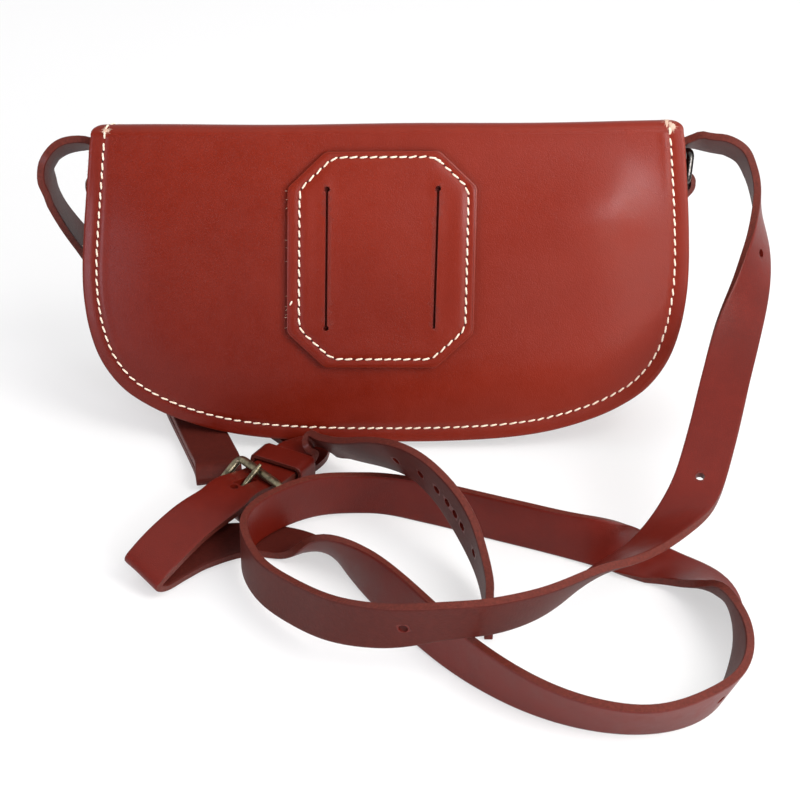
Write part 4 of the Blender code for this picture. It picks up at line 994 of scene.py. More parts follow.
class BackPanel(Panel):
    """The back panel has a soft ridge from its upper right towards its middle and a fuller lower part."""

    def relief(self, x, v, inset):
        inner = ease((inset - 0.010) / 0.022)
        run = (x - 0.030) * 0.78 + (v - 0.060) * 0.62
        off = (v - 0.060) * 0.78 - (x - 0.030) * 0.62
        ridge = 0.0017 * bump(off / 0.021) * ease((run + 0.03) / 0.05) * ease((0.125 - run) / 0.05)
        knob = 0.0009 * bump(np.hypot((x - 0.086) / 0.022, (v - 0.094) / 0.020))
        belly = 0.0010 * bump((v - 0.030) / 0.017) * bump(x / 0.110)
        hollow = -0.0007 * bump(np.hypot((x + 0.055) / 0.040, (v - 0.045) / 0.026))
        left = 0.0007 * bump(np.hypot((x + 0.100) / 0.020, (v - 0.075) / 0.045))
        return (ridge + knob + belly + hollow + left) * inner


BACK = BackPanel(PANEL_H, HEM_V, PANEL_Y, PANEL_Z, BACK_LEAN, -1, BACK_BULGE)
FRONT = Panel(FRONT_H, FRONT_H, PANEL_Y + BAG_DEPTH, FRONT_Z, FRONT_LEAN, 1, FRONT_BULGE)


# The flap's back hinge: a body name and two places either side of the hinge, given to finish_piece, which bakes those
# pieces in place
HINGE = BACK.at((0, PANEL_H), follow=False)[0]
HINGE_WAY = unit(np.array([0, 1.0, -0.45]))
HINGE_BEND = ("flap_top", tuple(HINGE - HINGE_WAY * 0.0005), tuple(HINGE + HINGE_WAY * 0.0050))


def build_panel(panel, name, node, holes=()):
    """One panel, its rim rounded and its open top left square."""
    flat = u_grid(panel.outline, panel.hem, PANEL_STEP)
    grid = panel.at(flat.reshape(-1, 2), LEATHER / 2).reshape(*flat.shape[:2], 3)
    made = leather(name, grid, LEATHER, PANEL_HIDE, round_edges=(True, False),
                   grain=facing(grid, (len(grid) // 2, 8), panel.out), radius=0.0013)
    finish_piece(made, "bag", "panel_leather", [node])
    if holes:
        cut(made, holes)


def build_gusset():
    """The strip sewn between the panels, its web swelling outward."""
    outline = resample(BACK.outline, GUSSET_STEP)
    keep = outline[:, 1] < PANEL_H - GUSSET_TOP_DROP
    depth = LEATHER + GAP + GUSSET_T / 2
    spots = ((RIM_INSET, depth), (FLANGE * 0.5, depth), (FLANGE - FOLD_R, depth),
             (FLANGE - FOLD_R * math.cos(math.pi / 4) / 2, depth + FOLD_R / 2),
             (FLANGE - FOLD_R / 4, depth + FOLD_R * 1.6))
    rows = []
    for point, normal in zip(outline[keep], right_of(outline)[keep]):
        high = float(ease(point[1] / (PANEL_H / 2)))
        low_inset = WEB_LOW_INSET + (WEB_HIGH_INSET - WEB_LOW_INSET) * high
        low_inset += abs(SIDE_SHIFTS[1 if point[0] > 0 else -1][0]) * high ** 3
        sides = []
        for panel in (BACK, FRONT):
            rim = point * np.array([1, panel.height / PANEL_H])
            sides.append([panel.at(rim + normal * inset, behind, follow=False)[0] for inset, behind in spots])
        back_web, front_web = sides[0][-1], sides[1][-1]
        out = np.array([-normal[0], 0, -normal[1]])
        swell = FLANGE - FOLD_R / 4 - low_inset
        web = [back_web * (1 - share) + front_web * share + out * swell * (1 - (2 * share - 1) ** 2)
               for share in (0.25, 0.5, 0.75)]
        rows.append(catmull(sides[0] + web + sides[1][::-1], 3))
    grid = np.array(rows)
    grain = facing(grid, (len(grid) // 2, grid.shape[1] // 2), (0, 0, -1))
    made = leather("gusset_strip", grid, GUSSET_T, PANEL_HIDE, grain=grain, radius=0.0006)
    cut(made, [pin(spot, axis, TAB_PIN_D + 2 * GAP, TAB_T * 6) for spot, axis in TAB_PINS])
    finish_piece(made, "bag", "panel_leather", ["gusset"])


def arc_points(start, direction, turn, radius, steps):
    """Points on an arc to the right of the direction in the YZ plane."""
    side = np.array([direction[1], -direction[0]])
    centre = start + side * radius
    return [centre - side * radius * math.cos(turn * k / steps) + np.asarray(direction) * radius
            * math.sin(turn * k / steps) for k in range(steps + 1)]


def flap_line():
    """Outer line of the flap's top, the line of its drop, and the direction in which the top runs forward."""
    start = BACK.at((0, HEM_V + LAY), follow=False)[0][1:]
    up, front_out, front_up = BACK.up[1:], FRONT.out[1:], FRONT.up[1:]
    top = FRONT.at((0, FRONT_H), follow=False)[0][1:]
    fold_top = top + front_out * (FLAP_CLEAR + LEATHER + FRONT_BULGE) + front_up * FLAP_CLEAR
    front_angle = math.pi - math.atan2(front_up[1], front_up[0])
    slope = 0.0
    for _ in range(12):
        turn = math.atan2(up[1], up[0]) - slope
        rise = arc_points(start, up, turn, FOLD_OUTER_R, 12)
        landing = arc_points(np.zeros(2), (math.cos(slope), math.sin(slope)), slope + front_angle,
                             FOLD_OUTER_R, 3)[-1]
        run = fold_top - landing - rise[-1]
        slope = math.atan2(run[1], run[0])
    end = fold_top - landing
    base = BACK.at((0, HEM_V), follow=False)[0][1:]
    level = [rise[-1] + (end - rise[-1]) * s for s in np.linspace(0, 1, 13)[1:]]
    direction = unit(end - rise[-1])
    corner = arc_points(end + direction * (GAP + LAY), direction,
                        math.atan2(direction[1], direction[0]) + front_angle, FOLD_OUTER_R, 8)
    drop = [end] + corner[:-1] + [corner[-1] - front_up * FLAP_DROP * s for s in np.linspace(0, 1, 25)]
    return np.array([base, start - up * LAY / 2] + rise + level), np.array(drop), direction


# The flap: how far its top sags and waves, how far its front waves, and the run over which its sides draw in
BRIDGE_SAG = 0.0009
BRIDGE_WAVE = 0.0004
DROP_WAVE = 0.0007
BRIDGE_NARROWING = 0.0092


def flap_outline(length):
    """The drop's outline in its own plane, from its right end at the fold, down, round and up to the left."""
    outline = [(FLAP_W / 2, length - s) for s in np.linspace(0, length - FLAP_DROP, 8)[:-1]]
    for s in np.linspace(0, FLAP_DROP - FLAP_CORNER, 12)[:-1]:
        outline.append((FLAP_W / 2 + FLAP_WIDEN * float(ease(2 * s / FLAP_DROP)), FLAP_DROP - s))
    for a in np.linspace(0, math.pi / 2, 16):
        v = FLAP_CORNER * (1 - math.sin(a))
        s = FLAP_DROP - v
        wide = FLAP_W / 2 + FLAP_WIDEN * float(ease(2 * s / FLAP_DROP))
        outline.append((wide - FLAP_CORNER + FLAP_CORNER * math.cos(a), v))
    outline = np.vstack([outline, np.array(outline)[::-1] * (-1, 1)])
    return outline[np.r_[True, np.linalg.norm(np.diff(outline, axis=0), axis=1) > 1e-6]]


def build_bridge(bridge, normal):
    """The flap's top, which bends at its back hinge."""
    middle = bridge - normal * LEATHER / 2
    across = np.array([-1, -0.9865, -0.974, -0.955, *np.linspace(-0.93, 0.93, 33), 0.955, 0.974, 0.9865, 1])
    run = run_of(bridge)
    share = run / run[-1]
    grid = np.zeros((len(bridge), len(across), 3))
    rim = PANEL_OUTLINE_SHARES[-1][0] * PANEL_W / 2
    half = rim - (rim - FLAP_W / 2) * ease(run / BRIDGE_NARROWING) ** 1.6
    grid[..., 0] = across[None, :] * half[:, None]
    sag = BRIDGE_SAG * np.sin(math.pi * share)[:, None] * (1 - across[None, :] ** 2)
    wave = BRIDGE_WAVE * np.sin(math.pi * share)[:, None] * np.sin(across[None, :] * 7.0 + 1.0)
    grid[..., 1] = middle[:, None, 0]
    grid[..., 2] = middle[:, None, 1] - sag + wave
    grain = facing(grid, (grid.shape[0] // 2, grid.shape[1] // 2), (0, 0, 1))
    top = leather("flap_bridge", grid, LEATHER, PANEL_HIDE, grain=grain, radius=0.0009)
    finish_piece(top, "bag", "panel_leather", ["flap_top"], HINGE_BEND)


def build_drop(drop, direction, fold):
    """The flap's front, which bends at its fold, with its keyhole."""
    run = run_of(drop)
    length = run[-1]
    outline = flap_outline(length)
    flat = u_grid(outline, length, DROP_STEP)
    shape = flat.shape[:2]
    flat = flat.reshape(-1, 2)
    inset = edge_distance(flat, outline)
    normal = -right_of(drop)
    normal[0] = (-direction[1], direction[0])
    place = place_at(drop, run, length - flat[:, 1])
    out = unit(place_at(normal, run, length - flat[:, 1]))
    low = ease((FLAP_DROP - flat[:, 1]) / FLAP_DROP)
    rise = DROP_WAVE * low * np.sin(flat[:, 0] * 40 + 0.6) * ease(inset / 0.03)
    rise -= 0.00025 * bump((inset - 0.0038) / 0.0008)
    grid = np.concatenate([flat[:, :1], place + out * (rise - LEATHER / 2)[:, None]], 1).reshape(*shape, 3)
    front = leather("flap_drop", grid, LEATHER, PANEL_HIDE, round_edges=(True, False),
                    grain=facing(grid, (shape[0] // 2, 6), (0, 1, 0)), radius=0.0009)
    stud = FRONT.at((0, STUD_V))[0]
    half, slide = KEYHOLE_W / 2, KEYHOLE_H - KEYHOLE_W
    ring = [(half * math.cos(a), half * math.sin(a) - (slide if math.sin(a) < 0 else 0))
            for a in np.linspace(0, 2 * math.pi, 32, endpoint=False)]
    cut(front, [prism(*([stud + FRONT.up * v + np.array([x, 0, 0]) + FRONT.out * depth for x, v in ring]
                        for depth in (-LEATHER * 3, LEATHER * 5)))])
    ahead = np.array([0, *direction])
    finish_piece(front, "flap_top", "panel_leather", ["flap_front"],
                 ("flap_front", tuple(fold - ahead * 0.0002), tuple(fold + ahead * 0.0040)))


def build_flap():
    """The flap in two pieces, with the stitches and the torn leather that run on over its hinge."""
    bridge, drop, direction = flap_line()
    normal = -right_of(bridge)
    normal[0], normal[-1] = BACK.out[1:], (-direction[1], direction[0])
    build_bridge(bridge, normal)
    build_drop(drop, direction, np.array([0, *bridge[-1]]))
    seam_ends(bridge, normal)


# --- Belt patch --------------------------------------------------------------------------------------------------

PATCH_SEAM_INSETS = (0.0036, 0.0024, 0.0050, 0.0036)


def patch_octagon(right, top, left, bottom):
    """The patch's octagon drawn in by its own amount on each side, going anticlockwise from the upper right."""
    x0, x1 = left - PATCH_W / 2, PATCH_W / 2 - right
    v0, v1 = bottom - PATCH_H / 2, PATCH_H / 2 - top
    trim = (right + left) / 2 * (math.sqrt(2) - 1)
    cx, cv = PATCH_CHAMFER_X - trim, PATCH_CHAMFER_V - trim
    corners = ((x1, v1 - cv), (x1 - cx, v1), (x0 + cx, v1), (x0, v1 - cv), (x0, v0 + cv), (x0 + cx, v0),
               (x1 - cx, v0), (x1, v0 + cv))
    return np.array([(PATCH_X + x, PATCH_V + v) for x, v in corners])


def rounded(corners, radius, step, turns=7):
    """A closed polygon with rounded corners, as points an even distance apart."""
    line = []
    count = len(corners)
    for k, corner in enumerate(corners):
        a, b = unit(corners[k - 1] - corner), unit(corners[(k + 1) % count] - corner)
        for t in np.linspace(0, 1, turns):
            line.append(corner + (a * (1 - t) ** 2 + b * t ** 2) * radius)
    return resample(np.array(line + line[:1]), step)[:-1]


PATCH_RIM = rounded(patch_octagon(0, 0, 0, 0), 0.0016, 0.0011)
PATCH_SEAM = rounded(patch_octagon(*PATCH_SEAM_INSETS), 0.0030, 0.0010)
PATCH_SEAM_LOOP = np.vstack([PATCH_SEAM, PATCH_SEAM[:1]])
PATCH_RIM_LOOP = np.vstack([PATCH_RIM, PATCH_RIM[:1]])


def patch_rise(points):
    """Relief of the patch's face: pressed down along its seam, with a burnished rim and lifted slit lips."""
    seam = edge_distance(points, PATCH_SEAM_LOOP)
    rim = edge_distance(points, PATCH_RIM_LOOP)
    x, v = points[:, 0] - PATCH_X, points[:, 1]
    rise = -0.00035 * bump(seam / 0.0013) - 0.00028 * bump(rim / 0.0012) + 0.00025 * bump((rim - 0.0078) / 0.0035)
    for side in (-1, 1):
        lean = (v - PATCH_V) * (0.010 if side > 0 else 0.0)
        near = bump((x - side * SLIT_SPACING / 2 - lean) / 0.0022)
        rise += 0.00022 * near * ease((SLIT_TOP_V + 0.004 - v) / 0.004) * ease((v - SLIT_LOW_V + 0.004) / 0.004)
    rise += 0.0005 * bump(x / 0.016) * bump((v - PATCH_V - 0.006) / 0.022)
    return rise


def patch_at(points, lift=0.0):
    """Places on the patch's face, raised by the lift."""
    points = np.atleast_2d(points)
    base = BACK.at(points, -(LAY * 0.3 + PATCH_T))
    return base + np.outer(patch_rise(points) + lift, BACK.out)


def slit_cutter(side, lean, low_hole):
    """An upright slit with a round hole at its top, and one at its foot where asked, as (points, faces)."""
    half, r = SLIT_W / 2, SLIT_HOLE_D / 2
    open_at = math.asin(half / r)
    ring = [(r * math.cos(a), SLIT_TOP_V + r * math.sin(a))
            for a in np.linspace(open_at - math.pi / 2, 1.5 * math.pi - open_at, 17)]
    if low_hole:
        ring += [(r * math.cos(a), SLIT_LOW_V + r * math.sin(a))
                 for a in np.linspace(math.pi / 2 + open_at, 2.5 * math.pi - open_at, 17)]
    else:
        ring += [(-half, SLIT_LOW_V), (half, SLIT_LOW_V)]
    flat = np.array([(PATCH_X + side * SLIT_SPACING / 2 + x + (v - PATCH_V) * lean, v) for x, v in ring])
    return prism(BACK.at(flat, PATCH_T, follow=False), BACK.at(flat, -PATCH_T * 4, follow=False))


# Rings of the patch's mesh, in shares of its size
PATCH_SHARES = (1, 0.988, 0.976, 0.963, 0.95, 0.937, 0.924, 0.911, 0.897, 0.88, 0.862, 0.84, 0.81, 0.77, 0.72, 0.66,
                0.6, 0.53, 0.46, 0.39, 0.32, 0.25, 0.18, 0.11, 0.05)


def build_patch():
    """The octagonal patch with its two upright slits."""
    centre = np.array([PATCH_X, PATCH_V])
    flat = centre + (PATCH_RIM[:, None] - centre) * np.array(PATCH_SHARES)[None, :, None]
    shape = flat.shape[:2]
    grid = BACK.at(flat.reshape(-1, 2), -(LAY * 0.3 + PATCH_T / 2)).reshape(*shape, 3)
    dish = -patch_rise(flat.reshape(-1, 2)).reshape(shape)
    patch = leather("patch_octagon", grid, PATCH_T, PANEL_HIDE, round_edges=(True, False), closed=True, hub=True,
                    grain=facing(grid, (0, 5), BACK.out, True), dish=dish)
    cut(patch, [slit_cutter(-1, 0.0, True), slit_cutter(1, 0.010, False)])
    finish_piece(patch, "bag", "panel_leather", ["belt_patch"])


# --- Stitches ----------------------------------------------------------------------------------------------------

STITCH = 0.0040
STITCH_SEEN = 0.0030
STITCH_R = 0.00038
STITCH_JITTER = 0.00012
STITCH_LEAN = 0.16
# Spots along a stitch, and its thickness at each, in shares
STITCH_SPOTS = np.array([-0.10, 0.02, 0.14, 0.30, 0.5, 0.70, 0.86, 0.98, 1.10])
STITCH_SWELL = np.array([0.72, 0.86, 0.97, 1.03, 1.0, 1.03, 0.97, 0.86, 0.72])
PRICK_HALF_LENGTH = 0.00062
PRICK_HALF_WIDTH = 0.00027


def one_stitch(place, start, end, radius=STITCH_R, sink=0.00045, proud=0.00018):
    """A thread that dips into the leather at both ends, as (points, faces, material)."""
    lifts = proud - (proud + sink) * abs(2 * STITCH_SPOTS - 1) ** 4
    path = place(start + np.outer(STITCH_SPOTS, end - start), lifts)
    fine = catmull(np.column_stack([path, radius * STITCH_SWELL]), 2)
    points, faces = sweep(fine[:, :3], fine[:, 3], 10, ridges=0.10)
    return points, faces, 0


def lens(rings, top, low):
    """A closed lens of rings between a top and a low point, as (points, faces)."""
    count, last = len(rings[0]), len(rings) - 1
    tip = len(rings) * count
    faces = []
    for j in range(last):
        faces += band(j * count, (j + 1) * count, count)
    for k in range(count):
        m = (k + 1) % count
        faces += [(last * count + k, last * count + m, tip), (m, k, tip + 1)]
    return np.vstack(rings + [top, low]), faces


def one_prick(place, centre, direction):
    """A dark slanted lens of painted shade where the awl went through, standing for the hole's shaded inside, as
    (points, faces, material).
    """
    normal = np.array([-direction[1], direction[0]])
    slant = unit(direction * 0.82 + normal * 0.57)
    side = np.array([-slant[1], slant[0]])
    count = 12
    a = np.arange(count) * 2 * math.pi / count
    rings = []
    for share, lift in ((1.0, 0.00002), (0.55, 0.00005)):
        flat = np.outer(np.cos(a) * PRICK_HALF_LENGTH * share, slant)
        flat = flat + np.outer(np.sin(a) * PRICK_HALF_WIDTH * share, side)
        rings.append(place(centre + flat, np.full(count, lift)))
    return *lens(rings, *(place(centre[None], np.array([lift])) for lift in (0.00006, -0.0003))), 1


def seam(name, line, place, node, closed=False):
    """Saddle stitches along a flat line, with dark lenses of painted shade between them for the awl holes."""
    run = run_of(line)
    count = int(round(run[-1] / STITCH))
    pitch = run[-1] / count
    parts = []
    for k in range(count):
        jitter = RANDOM.normal(0, STITCH_JITTER, 3)
        middle = (k + 0.5) * pitch + jitter[0]
        seen = STITCH_SEEN + jitter[1] * 1.3
        start, end = (place_at(line, run, s) for s in (middle - seen / 2, middle + seen / 2))
        direction = unit(end - start)
        lean = np.array([-direction[1], direction[0]]) * (STITCH_LEAN + jitter[2] * 300) * seen / 2
        parts.append(one_stitch(place, start - lean, end + lean))
        if closed or k:
            parts.append(one_prick(place, place_at(line, run, k * pitch), direction))
    finish_piece(merged(name, parts, [THREAD, AWL_HOLE_SHADE]), "bag", "linen_thread", [node])


def build_seams():
    """The seams round both panels and round the patch."""
    for panel, word in ((BACK, "back"), (FRONT, "front")):
        line = resample(panel.outline, 0.0010)
        inset = line + inward_of(line, panel.height) * SEAM_INSET
        keep = inset[:, 1] < panel.hem - SEAM_TOP_DROP
        seam("stitches_" + word, inset[keep], panel.raised, word + "_seam_thread")
    seam("stitches_patch", PATCH_SEAM_LOOP, patch_at, "patch_thread", closed=True)


# --- Ring hardware -----------------------------------------------------------------------------------------------

LEFT_TAB_EASE = 0.0004
WIRE_STEP = 0.0009
PRONG_TAPER = 0.0030


def ring_frame(side):
    """Axes of one ring: along its bar, outward, and up in its plane."""
    along = np.array([0, math.cos(RING_TILT), -math.sin(RING_TILT)])
    return along, np.array([side, 0, 0]), np.array([0, math.sin(RING_TILT), math.cos(RING_TILT)])


def ring_bar(side):
    """Centre of the ring's straight bar, set off the gusset by the folded tab."""
    height = (RING_Z - TAB_LENGTH - PANEL_Z) / math.cos(BACK_LEAN)
    edge = np.interp(height / PANEL_H, [v for _, v in PANEL_OUTLINE_SHARES], [x for x, _ in PANEL_OUTLINE_SHARES])
    web = edge * PANEL_W / 2 - WEB_HIGH_INSET + GUSSET_T / 2
    reach = RING_WIRE / 2 + LAY + TAB_T / 2 + (LEFT_TAB_EASE if side < 0 else 0)
    return np.array([side * (web + LAY + TAB_T / 2 + reach), RING_Y, RING_Z]) + SIDE_SHIFTS[side], reach


def tab_pin(side):
    """Where the tab's rivet goes through, outside it."""
    _, outward, up = ring_frame(side)
    centre, reach = ring_bar(side)
    outer = -reach + TAB_T + GAP
    return centre + outward * (outer + TAB_T / 2) - up * TAB_PIN_DROP, outward


TAB_PINS = [tab_pin(side) for side in (-1, 1)]


def build_ring(side, word):
    """D-ring: a straight bar, two legs and a low arc, leaning a little outward."""
    along, outward, up = ring_frame(side)
    rise = up * math.cos(RING_LEANS[side]) + outward * math.sin(RING_LEANS[side])
    turns = np.linspace(0, math.pi / 2, 6)
    flat = [(RING_HALF_W - RING_CORNER + RING_CORNER * math.sin(a), RING_CORNER - RING_CORNER * math.cos(a))
            for a in turns]
    flat += [(RING_HALF_W * math.cos(a), RING_LEG + RING_RISE * math.sin(a)) for a in np.linspace(0, math.pi, 33)]
    flat += [(RING_CORNER - RING_HALF_W - RING_CORNER * math.cos(a), RING_CORNER - RING_CORNER * math.sin(a))
             for a in turns]
    centre, _ = ring_bar(side)
    line = resample([centre + along * a + rise * w for a, w in flat + flat[:1]], WIRE_STEP)[:-1]
    made = merged("d_ring_" + word, [sweep(line, RING_WIRE / 2, ROUND_SIDES, closed=True)], RING_METAL)
    finish_piece(made, word + "_ring", "dark_ring_metal", [word + "_d_ring"])


def build_tab(side, word):
    """Leather tab folded round the ring's bar, both ends held by one rivet."""
    along, outward, up = ring_frame(side)
    centre, reach = ring_bar(side)
    outer = -reach + TAB_T + GAP
    path = [(-reach, -TAB_LENGTH), (-reach, -TAB_LENGTH / 2), (-reach, 0)]
    path += [(reach * math.cos(a), reach * math.sin(a)) for a in math.pi * (1 - np.arange(1, 8) / 8)]
    path += [(reach, 0), (reach * 0.85, -reach * 0.9), (outer + reach * 0.12, -reach * 2), (outer, -reach * 2.7),
             (outer, -TAB_LENGTH)]
    smooth = catmull(path, 4)
    grid = np.array([[centre + outward * u + up * w + along * s for s in NARROW_LANES * TAB_W] for u, w in smooth])
    top = int(np.argmax(smooth[:, 1]))
    tab = leather("ring_tab_" + word, grid, TAB_T, STRAP_HIDE, grain=facing(grid, (top, 2), up))
    pin_spot, _ = tab_pin(side)
    cut(tab, [pin(pin_spot - outward * TAB_T, outward, TAB_PIN_D + 2 * GAP, TAB_T * 6)])
    finish_piece(tab, "bag", "strap_leather", [word + "_ring_tab"])
    inside = -(TAB_T * 2 + GAP + LAY + GUSSET_T + 0.002)
    cap, post = TAB_CAP_D / 2, TAB_PIN_D / 2
    dome = [(cap * math.sin(a), GAP + TAB_CAP_H * (0.25 + 0.75 * math.cos(a))) for a in np.linspace(0.25, 1.5, 6)]
    profile = [(0, GAP + TAB_CAP_H)] + dome
    profile += [(cap, GAP), (post, GAP), (post, inside), (cap, inside), (cap * 0.9, inside - TAB_CAP_H / 2),
                (0, inside - TAB_CAP_H / 2)]
    rivet = turned("rivet_" + word, profile, pin_spot, outward, RING_METAL)
    finish_piece(rivet, "bag", "dark_ring_metal", [word + "_tab_rivet"])


# --- Buckle, keeper and closure ----------------------------------------------------------------------------------

def build_buckle():
    """Wire buckle with a flattened front bar, and its prong."""
    heel, across = buckle_axes()
    front = np.array([BUCKLE_X, BUCKLE_Y, BUCKLE_TOP_Z])
    half = BUCKLE_W / 2
    slope = unit(front - heel)
    line = rounded([heel - across * half, heel + across * half, front + across * half, front - across * half],
                   BAR_D, WIRE_STEP, 9)
    rise = (line - heel) @ slope / float((front - heel) @ slope)
    middle = 1 - np.abs((line - heel) @ across) / half
    radii = BAR_D / 2 * (1 + 0.10 * ease((rise - 0.7) / 0.3) * ease(middle * 3))
    buckle = merged("buckle_wire", [sweep(line, radii, ROUND_SIDES, closed=True)], BRASS)
    finish_piece(buckle, "bag", "aged_brass", ["buckle_frame"])
    reach = BAR_D / 2 + PRONG_CLEAR + PRONG_D / 2
    length = float(np.linalg.norm(front - heel)) + PRONG_OVERHANG
    level = BAR_D / 2 + LAY + PRONG_D / 2
    normal = np.cross(across, slope)
    normal = normal if normal[2] > 0 else -normal
    spots = [normal * reach * math.cos(a) - slope * reach * math.sin(a)
             for a in np.linspace(PRONG_EYE_START + PRONG_EYE_SWEEP, PRONG_EYE_START, 22)]
    spots += [slope * (reach + (length - reach) * share) + normal * level
              for share in (0.18, 0.36, 0.6, 0.8, 0.93, 1.0)]
    fine = catmull(heel + np.array(spots), 2)
    run = run_of(fine)
    radii = PRONG_D / 2 * (1 - 0.42 * ease((run - run[-1] + PRONG_TAPER) / PRONG_TAPER))
    prong = merged("buckle_tongue", [sweep(fine, radii, 16)], BRASS)
    finish_piece(prong, "prong", "aged_brass", ["buckle_prong"])


def build_keeper():
    """Leather loop round both straps."""
    toward, across = level_axes(KEEPER_YAW)
    middle = np.array([KEEPER_X, KEEPER_Y, (KEEPER_LOW_Z + KEEPER_HIGH_Z) / 2])
    half_w = STRAP_W / 2 + KEEPER_SIDE_CLEAR + KEEPER_T / 2
    half_h = (KEEPER_HIGH_Z - KEEPER_LOW_Z) / 2
    corner = KEEPER_T
    ring = []
    for sx, sz in ((1, -1), (1, 1), (-1, 1), (-1, -1)):
        for t in np.linspace(0, 1, 6):
            a = math.atan2(sz, sx) + (t - 0.5) * math.pi / 2
            ring.append((sx * (half_w - corner) + corner * math.cos(a), sz * (half_h - corner) + corner * math.sin(a)))
    ring = resample(ring + ring[:1], 0.0016)[:-1]
    grid = np.array([[middle + across * x + np.array([0, 0, z]) + toward * s for s in NARROW_LANES * KEEPER_W]
                     for x, z in ring])
    keeper = leather("keeper_loop", grid, KEEPER_T, STRAP_HIDE, closed=True, radius=0.0007,
                     grain=facing(grid, (0, 2), grid[0, 2] - grid.mean((0, 1)), True))
    finish_piece(keeper, "keeper", "strap_leather", ["keeper"])


def build_stud():
    """Ball stud on the front panel, with its screw inside."""
    seat = FRONT.at((0, STUD_V), follow=False)[0] + FRONT.out * FRONT_BULGE
    ball, neck, base = STUD_BALL_D / 2, STUD_NECK_D / 2, STUD_BASE_D / 2
    neck_h = FLAP_CLEAR + LEATHER + GAP
    centre = STUD_BASE_H + neck_h + ball
    low = math.pi - math.asin(neck / ball)
    profile = [(0, centre + ball)]
    profile += [(ball * math.sin(a), centre + ball * math.cos(a)) for a in np.linspace(0.12, low, 16)]
    profile += [(neck, STUD_BASE_H + neck_h * 0.5), (neck * 1.1, STUD_BASE_H + GAP), (base * 0.9, STUD_BASE_H + GAP),
                (base, STUD_BASE_H * 0.6 + GAP), (base, GAP), (0, GAP)]
    finish_piece(turned("ball_stud", profile, seat, FRONT.out, BRASS), "bag", "aged_brass", ["closure_stud"])
    head, inner = SCREW_HEAD_D / 2, -LEATHER - GAP
    profile = [(0, -GAP), (neck, -GAP), (neck, inner), (head, inner), (head, inner - SCREW_HEAD_H * 0.6),
               (head * 0.85, inner - SCREW_HEAD_H), (0, inner - SCREW_HEAD_H)]
    finish_piece(turned("inner_screw", profile, seat, FRONT.out, BRASS), "bag", "aged_brass", ["stud_screw"])


# --- Worn details ------------------------------------------------------------------------------------------------

FRAY_POINTS = 26
FRAY_HAIRS = 26
RIM_HAIRS = 46
PATCH_HAIRS = 12


def hair(start, direction, length, radius):
    """A short bent fibre that tapers to nothing, as (points, faces)."""
    direction = unit(direction)
    side = unit(np.cross(direction, RANDOM.normal(0, 1, 3)))
    t = np.linspace(0, 1, 7)
    bent = np.outer(t ** 2, side) * length * RANDOM.uniform(-0.4, 0.4)
    return sweep(np.asarray(start) + np.outer(t, direction) * length + bent, radius * (1 - 0.85 * t), 6)


def frayed_patch(place, centre, size, phase):
    """Parts of a pale torn spot of raw fibres, with an uneven outline."""
    count = FRAY_POINTS
    centre, size = np.array(centre), np.array(size)
    a = np.arange(count) * 2 * math.pi / count
    rim = 1 + 0.22 * np.sin(3 * a + phase) + RANDOM.normal(0, 0.09, count)
    rings = []
    for share, lift in ((1.0, -0.0001), (0.8, 0.00022), (0.45, 0.00034)):
        flat = centre + np.stack([np.cos(a), np.sin(a)], 1) * size / 2 * (rim * share)[:, None]
        rings.append(place(flat, lift + RANDOM.normal(0, 0.00005, count)))
    parts = [lens(rings, *(place(centre[None], np.array([lift])) for lift in (0.00036, -0.0006)))]
    for _ in range(FRAY_HAIRS):
        turn = RANDOM.uniform(0, 2 * math.pi)
        way = np.array([math.cos(turn), math.sin(turn)])
        flat = centre + way * size * RANDOM.uniform(0.2, 0.5)
        root, tip = place(np.array([flat, flat + way * 0.001]), np.array([0, 0.0003]))
        parts.append(hair(root, tip - root, RANDOM.uniform(0.0006, 0.0016), 0.00009))
    return parts


# Start and end of each stitch that runs on over the top fold, and the torn spots: centre, size, phase
TOP_STITCHES = ((-0.1152, 0.1275, -0.1150, 0.1304), (-0.1147, 0.1314, -0.1137, 0.1341),
                (-0.1130, 0.1348, -0.1113, 0.1370), (-0.1105, 0.1376, -0.1087, 0.1394),
                (0.1152, 0.1275, 0.1149, 0.1304))
TORN_SPOTS = (((0.1141, 0.1346), (0.0026, 0.0078), 0.4), ((0.1158, 0.1308), (0.0028, 0.0052), 1.4),
              ((-0.1146, 0.1308), (0.0030, 0.0020), 2.0))


def seam_ends(bridge, normal):
    """The last stitches of the back seam, which run on over the fold of the top, and the torn leather beside them."""
    run = run_of(bridge)

    def place(points, lifts):
        points, lifts = np.atleast_2d(points), np.asarray(lifts)
        s = points[:, 1] - HEM_V
        high = place_at(bridge, run, s) + lifts[:, None] * place_at(normal, run, s)
        share = ease((s + 0.0004) / 0.0008)[:, None]
        return BACK.raised(points, lifts) * (1 - share) + np.column_stack([points[:, 0], high]) * share

    parts = [one_stitch(place, np.array(ends[:2]), np.array(ends[2:]), proud=0.00026) for ends in TOP_STITCHES]
    made = merged("stitches_top", parts, [THREAD, AWL_HOLE_SHADE])
    torn = [part for spot in TORN_SPOTS for part in frayed_patch(place, *spot)]
    fray = merged("torn_corners", torn, RAW_FIBRE)
    for piece, slot in ((made, "linen_thread"), (fray, "panel_leather")):
        finish_piece(piece, "bag", slot, bend=HINGE_BEND)


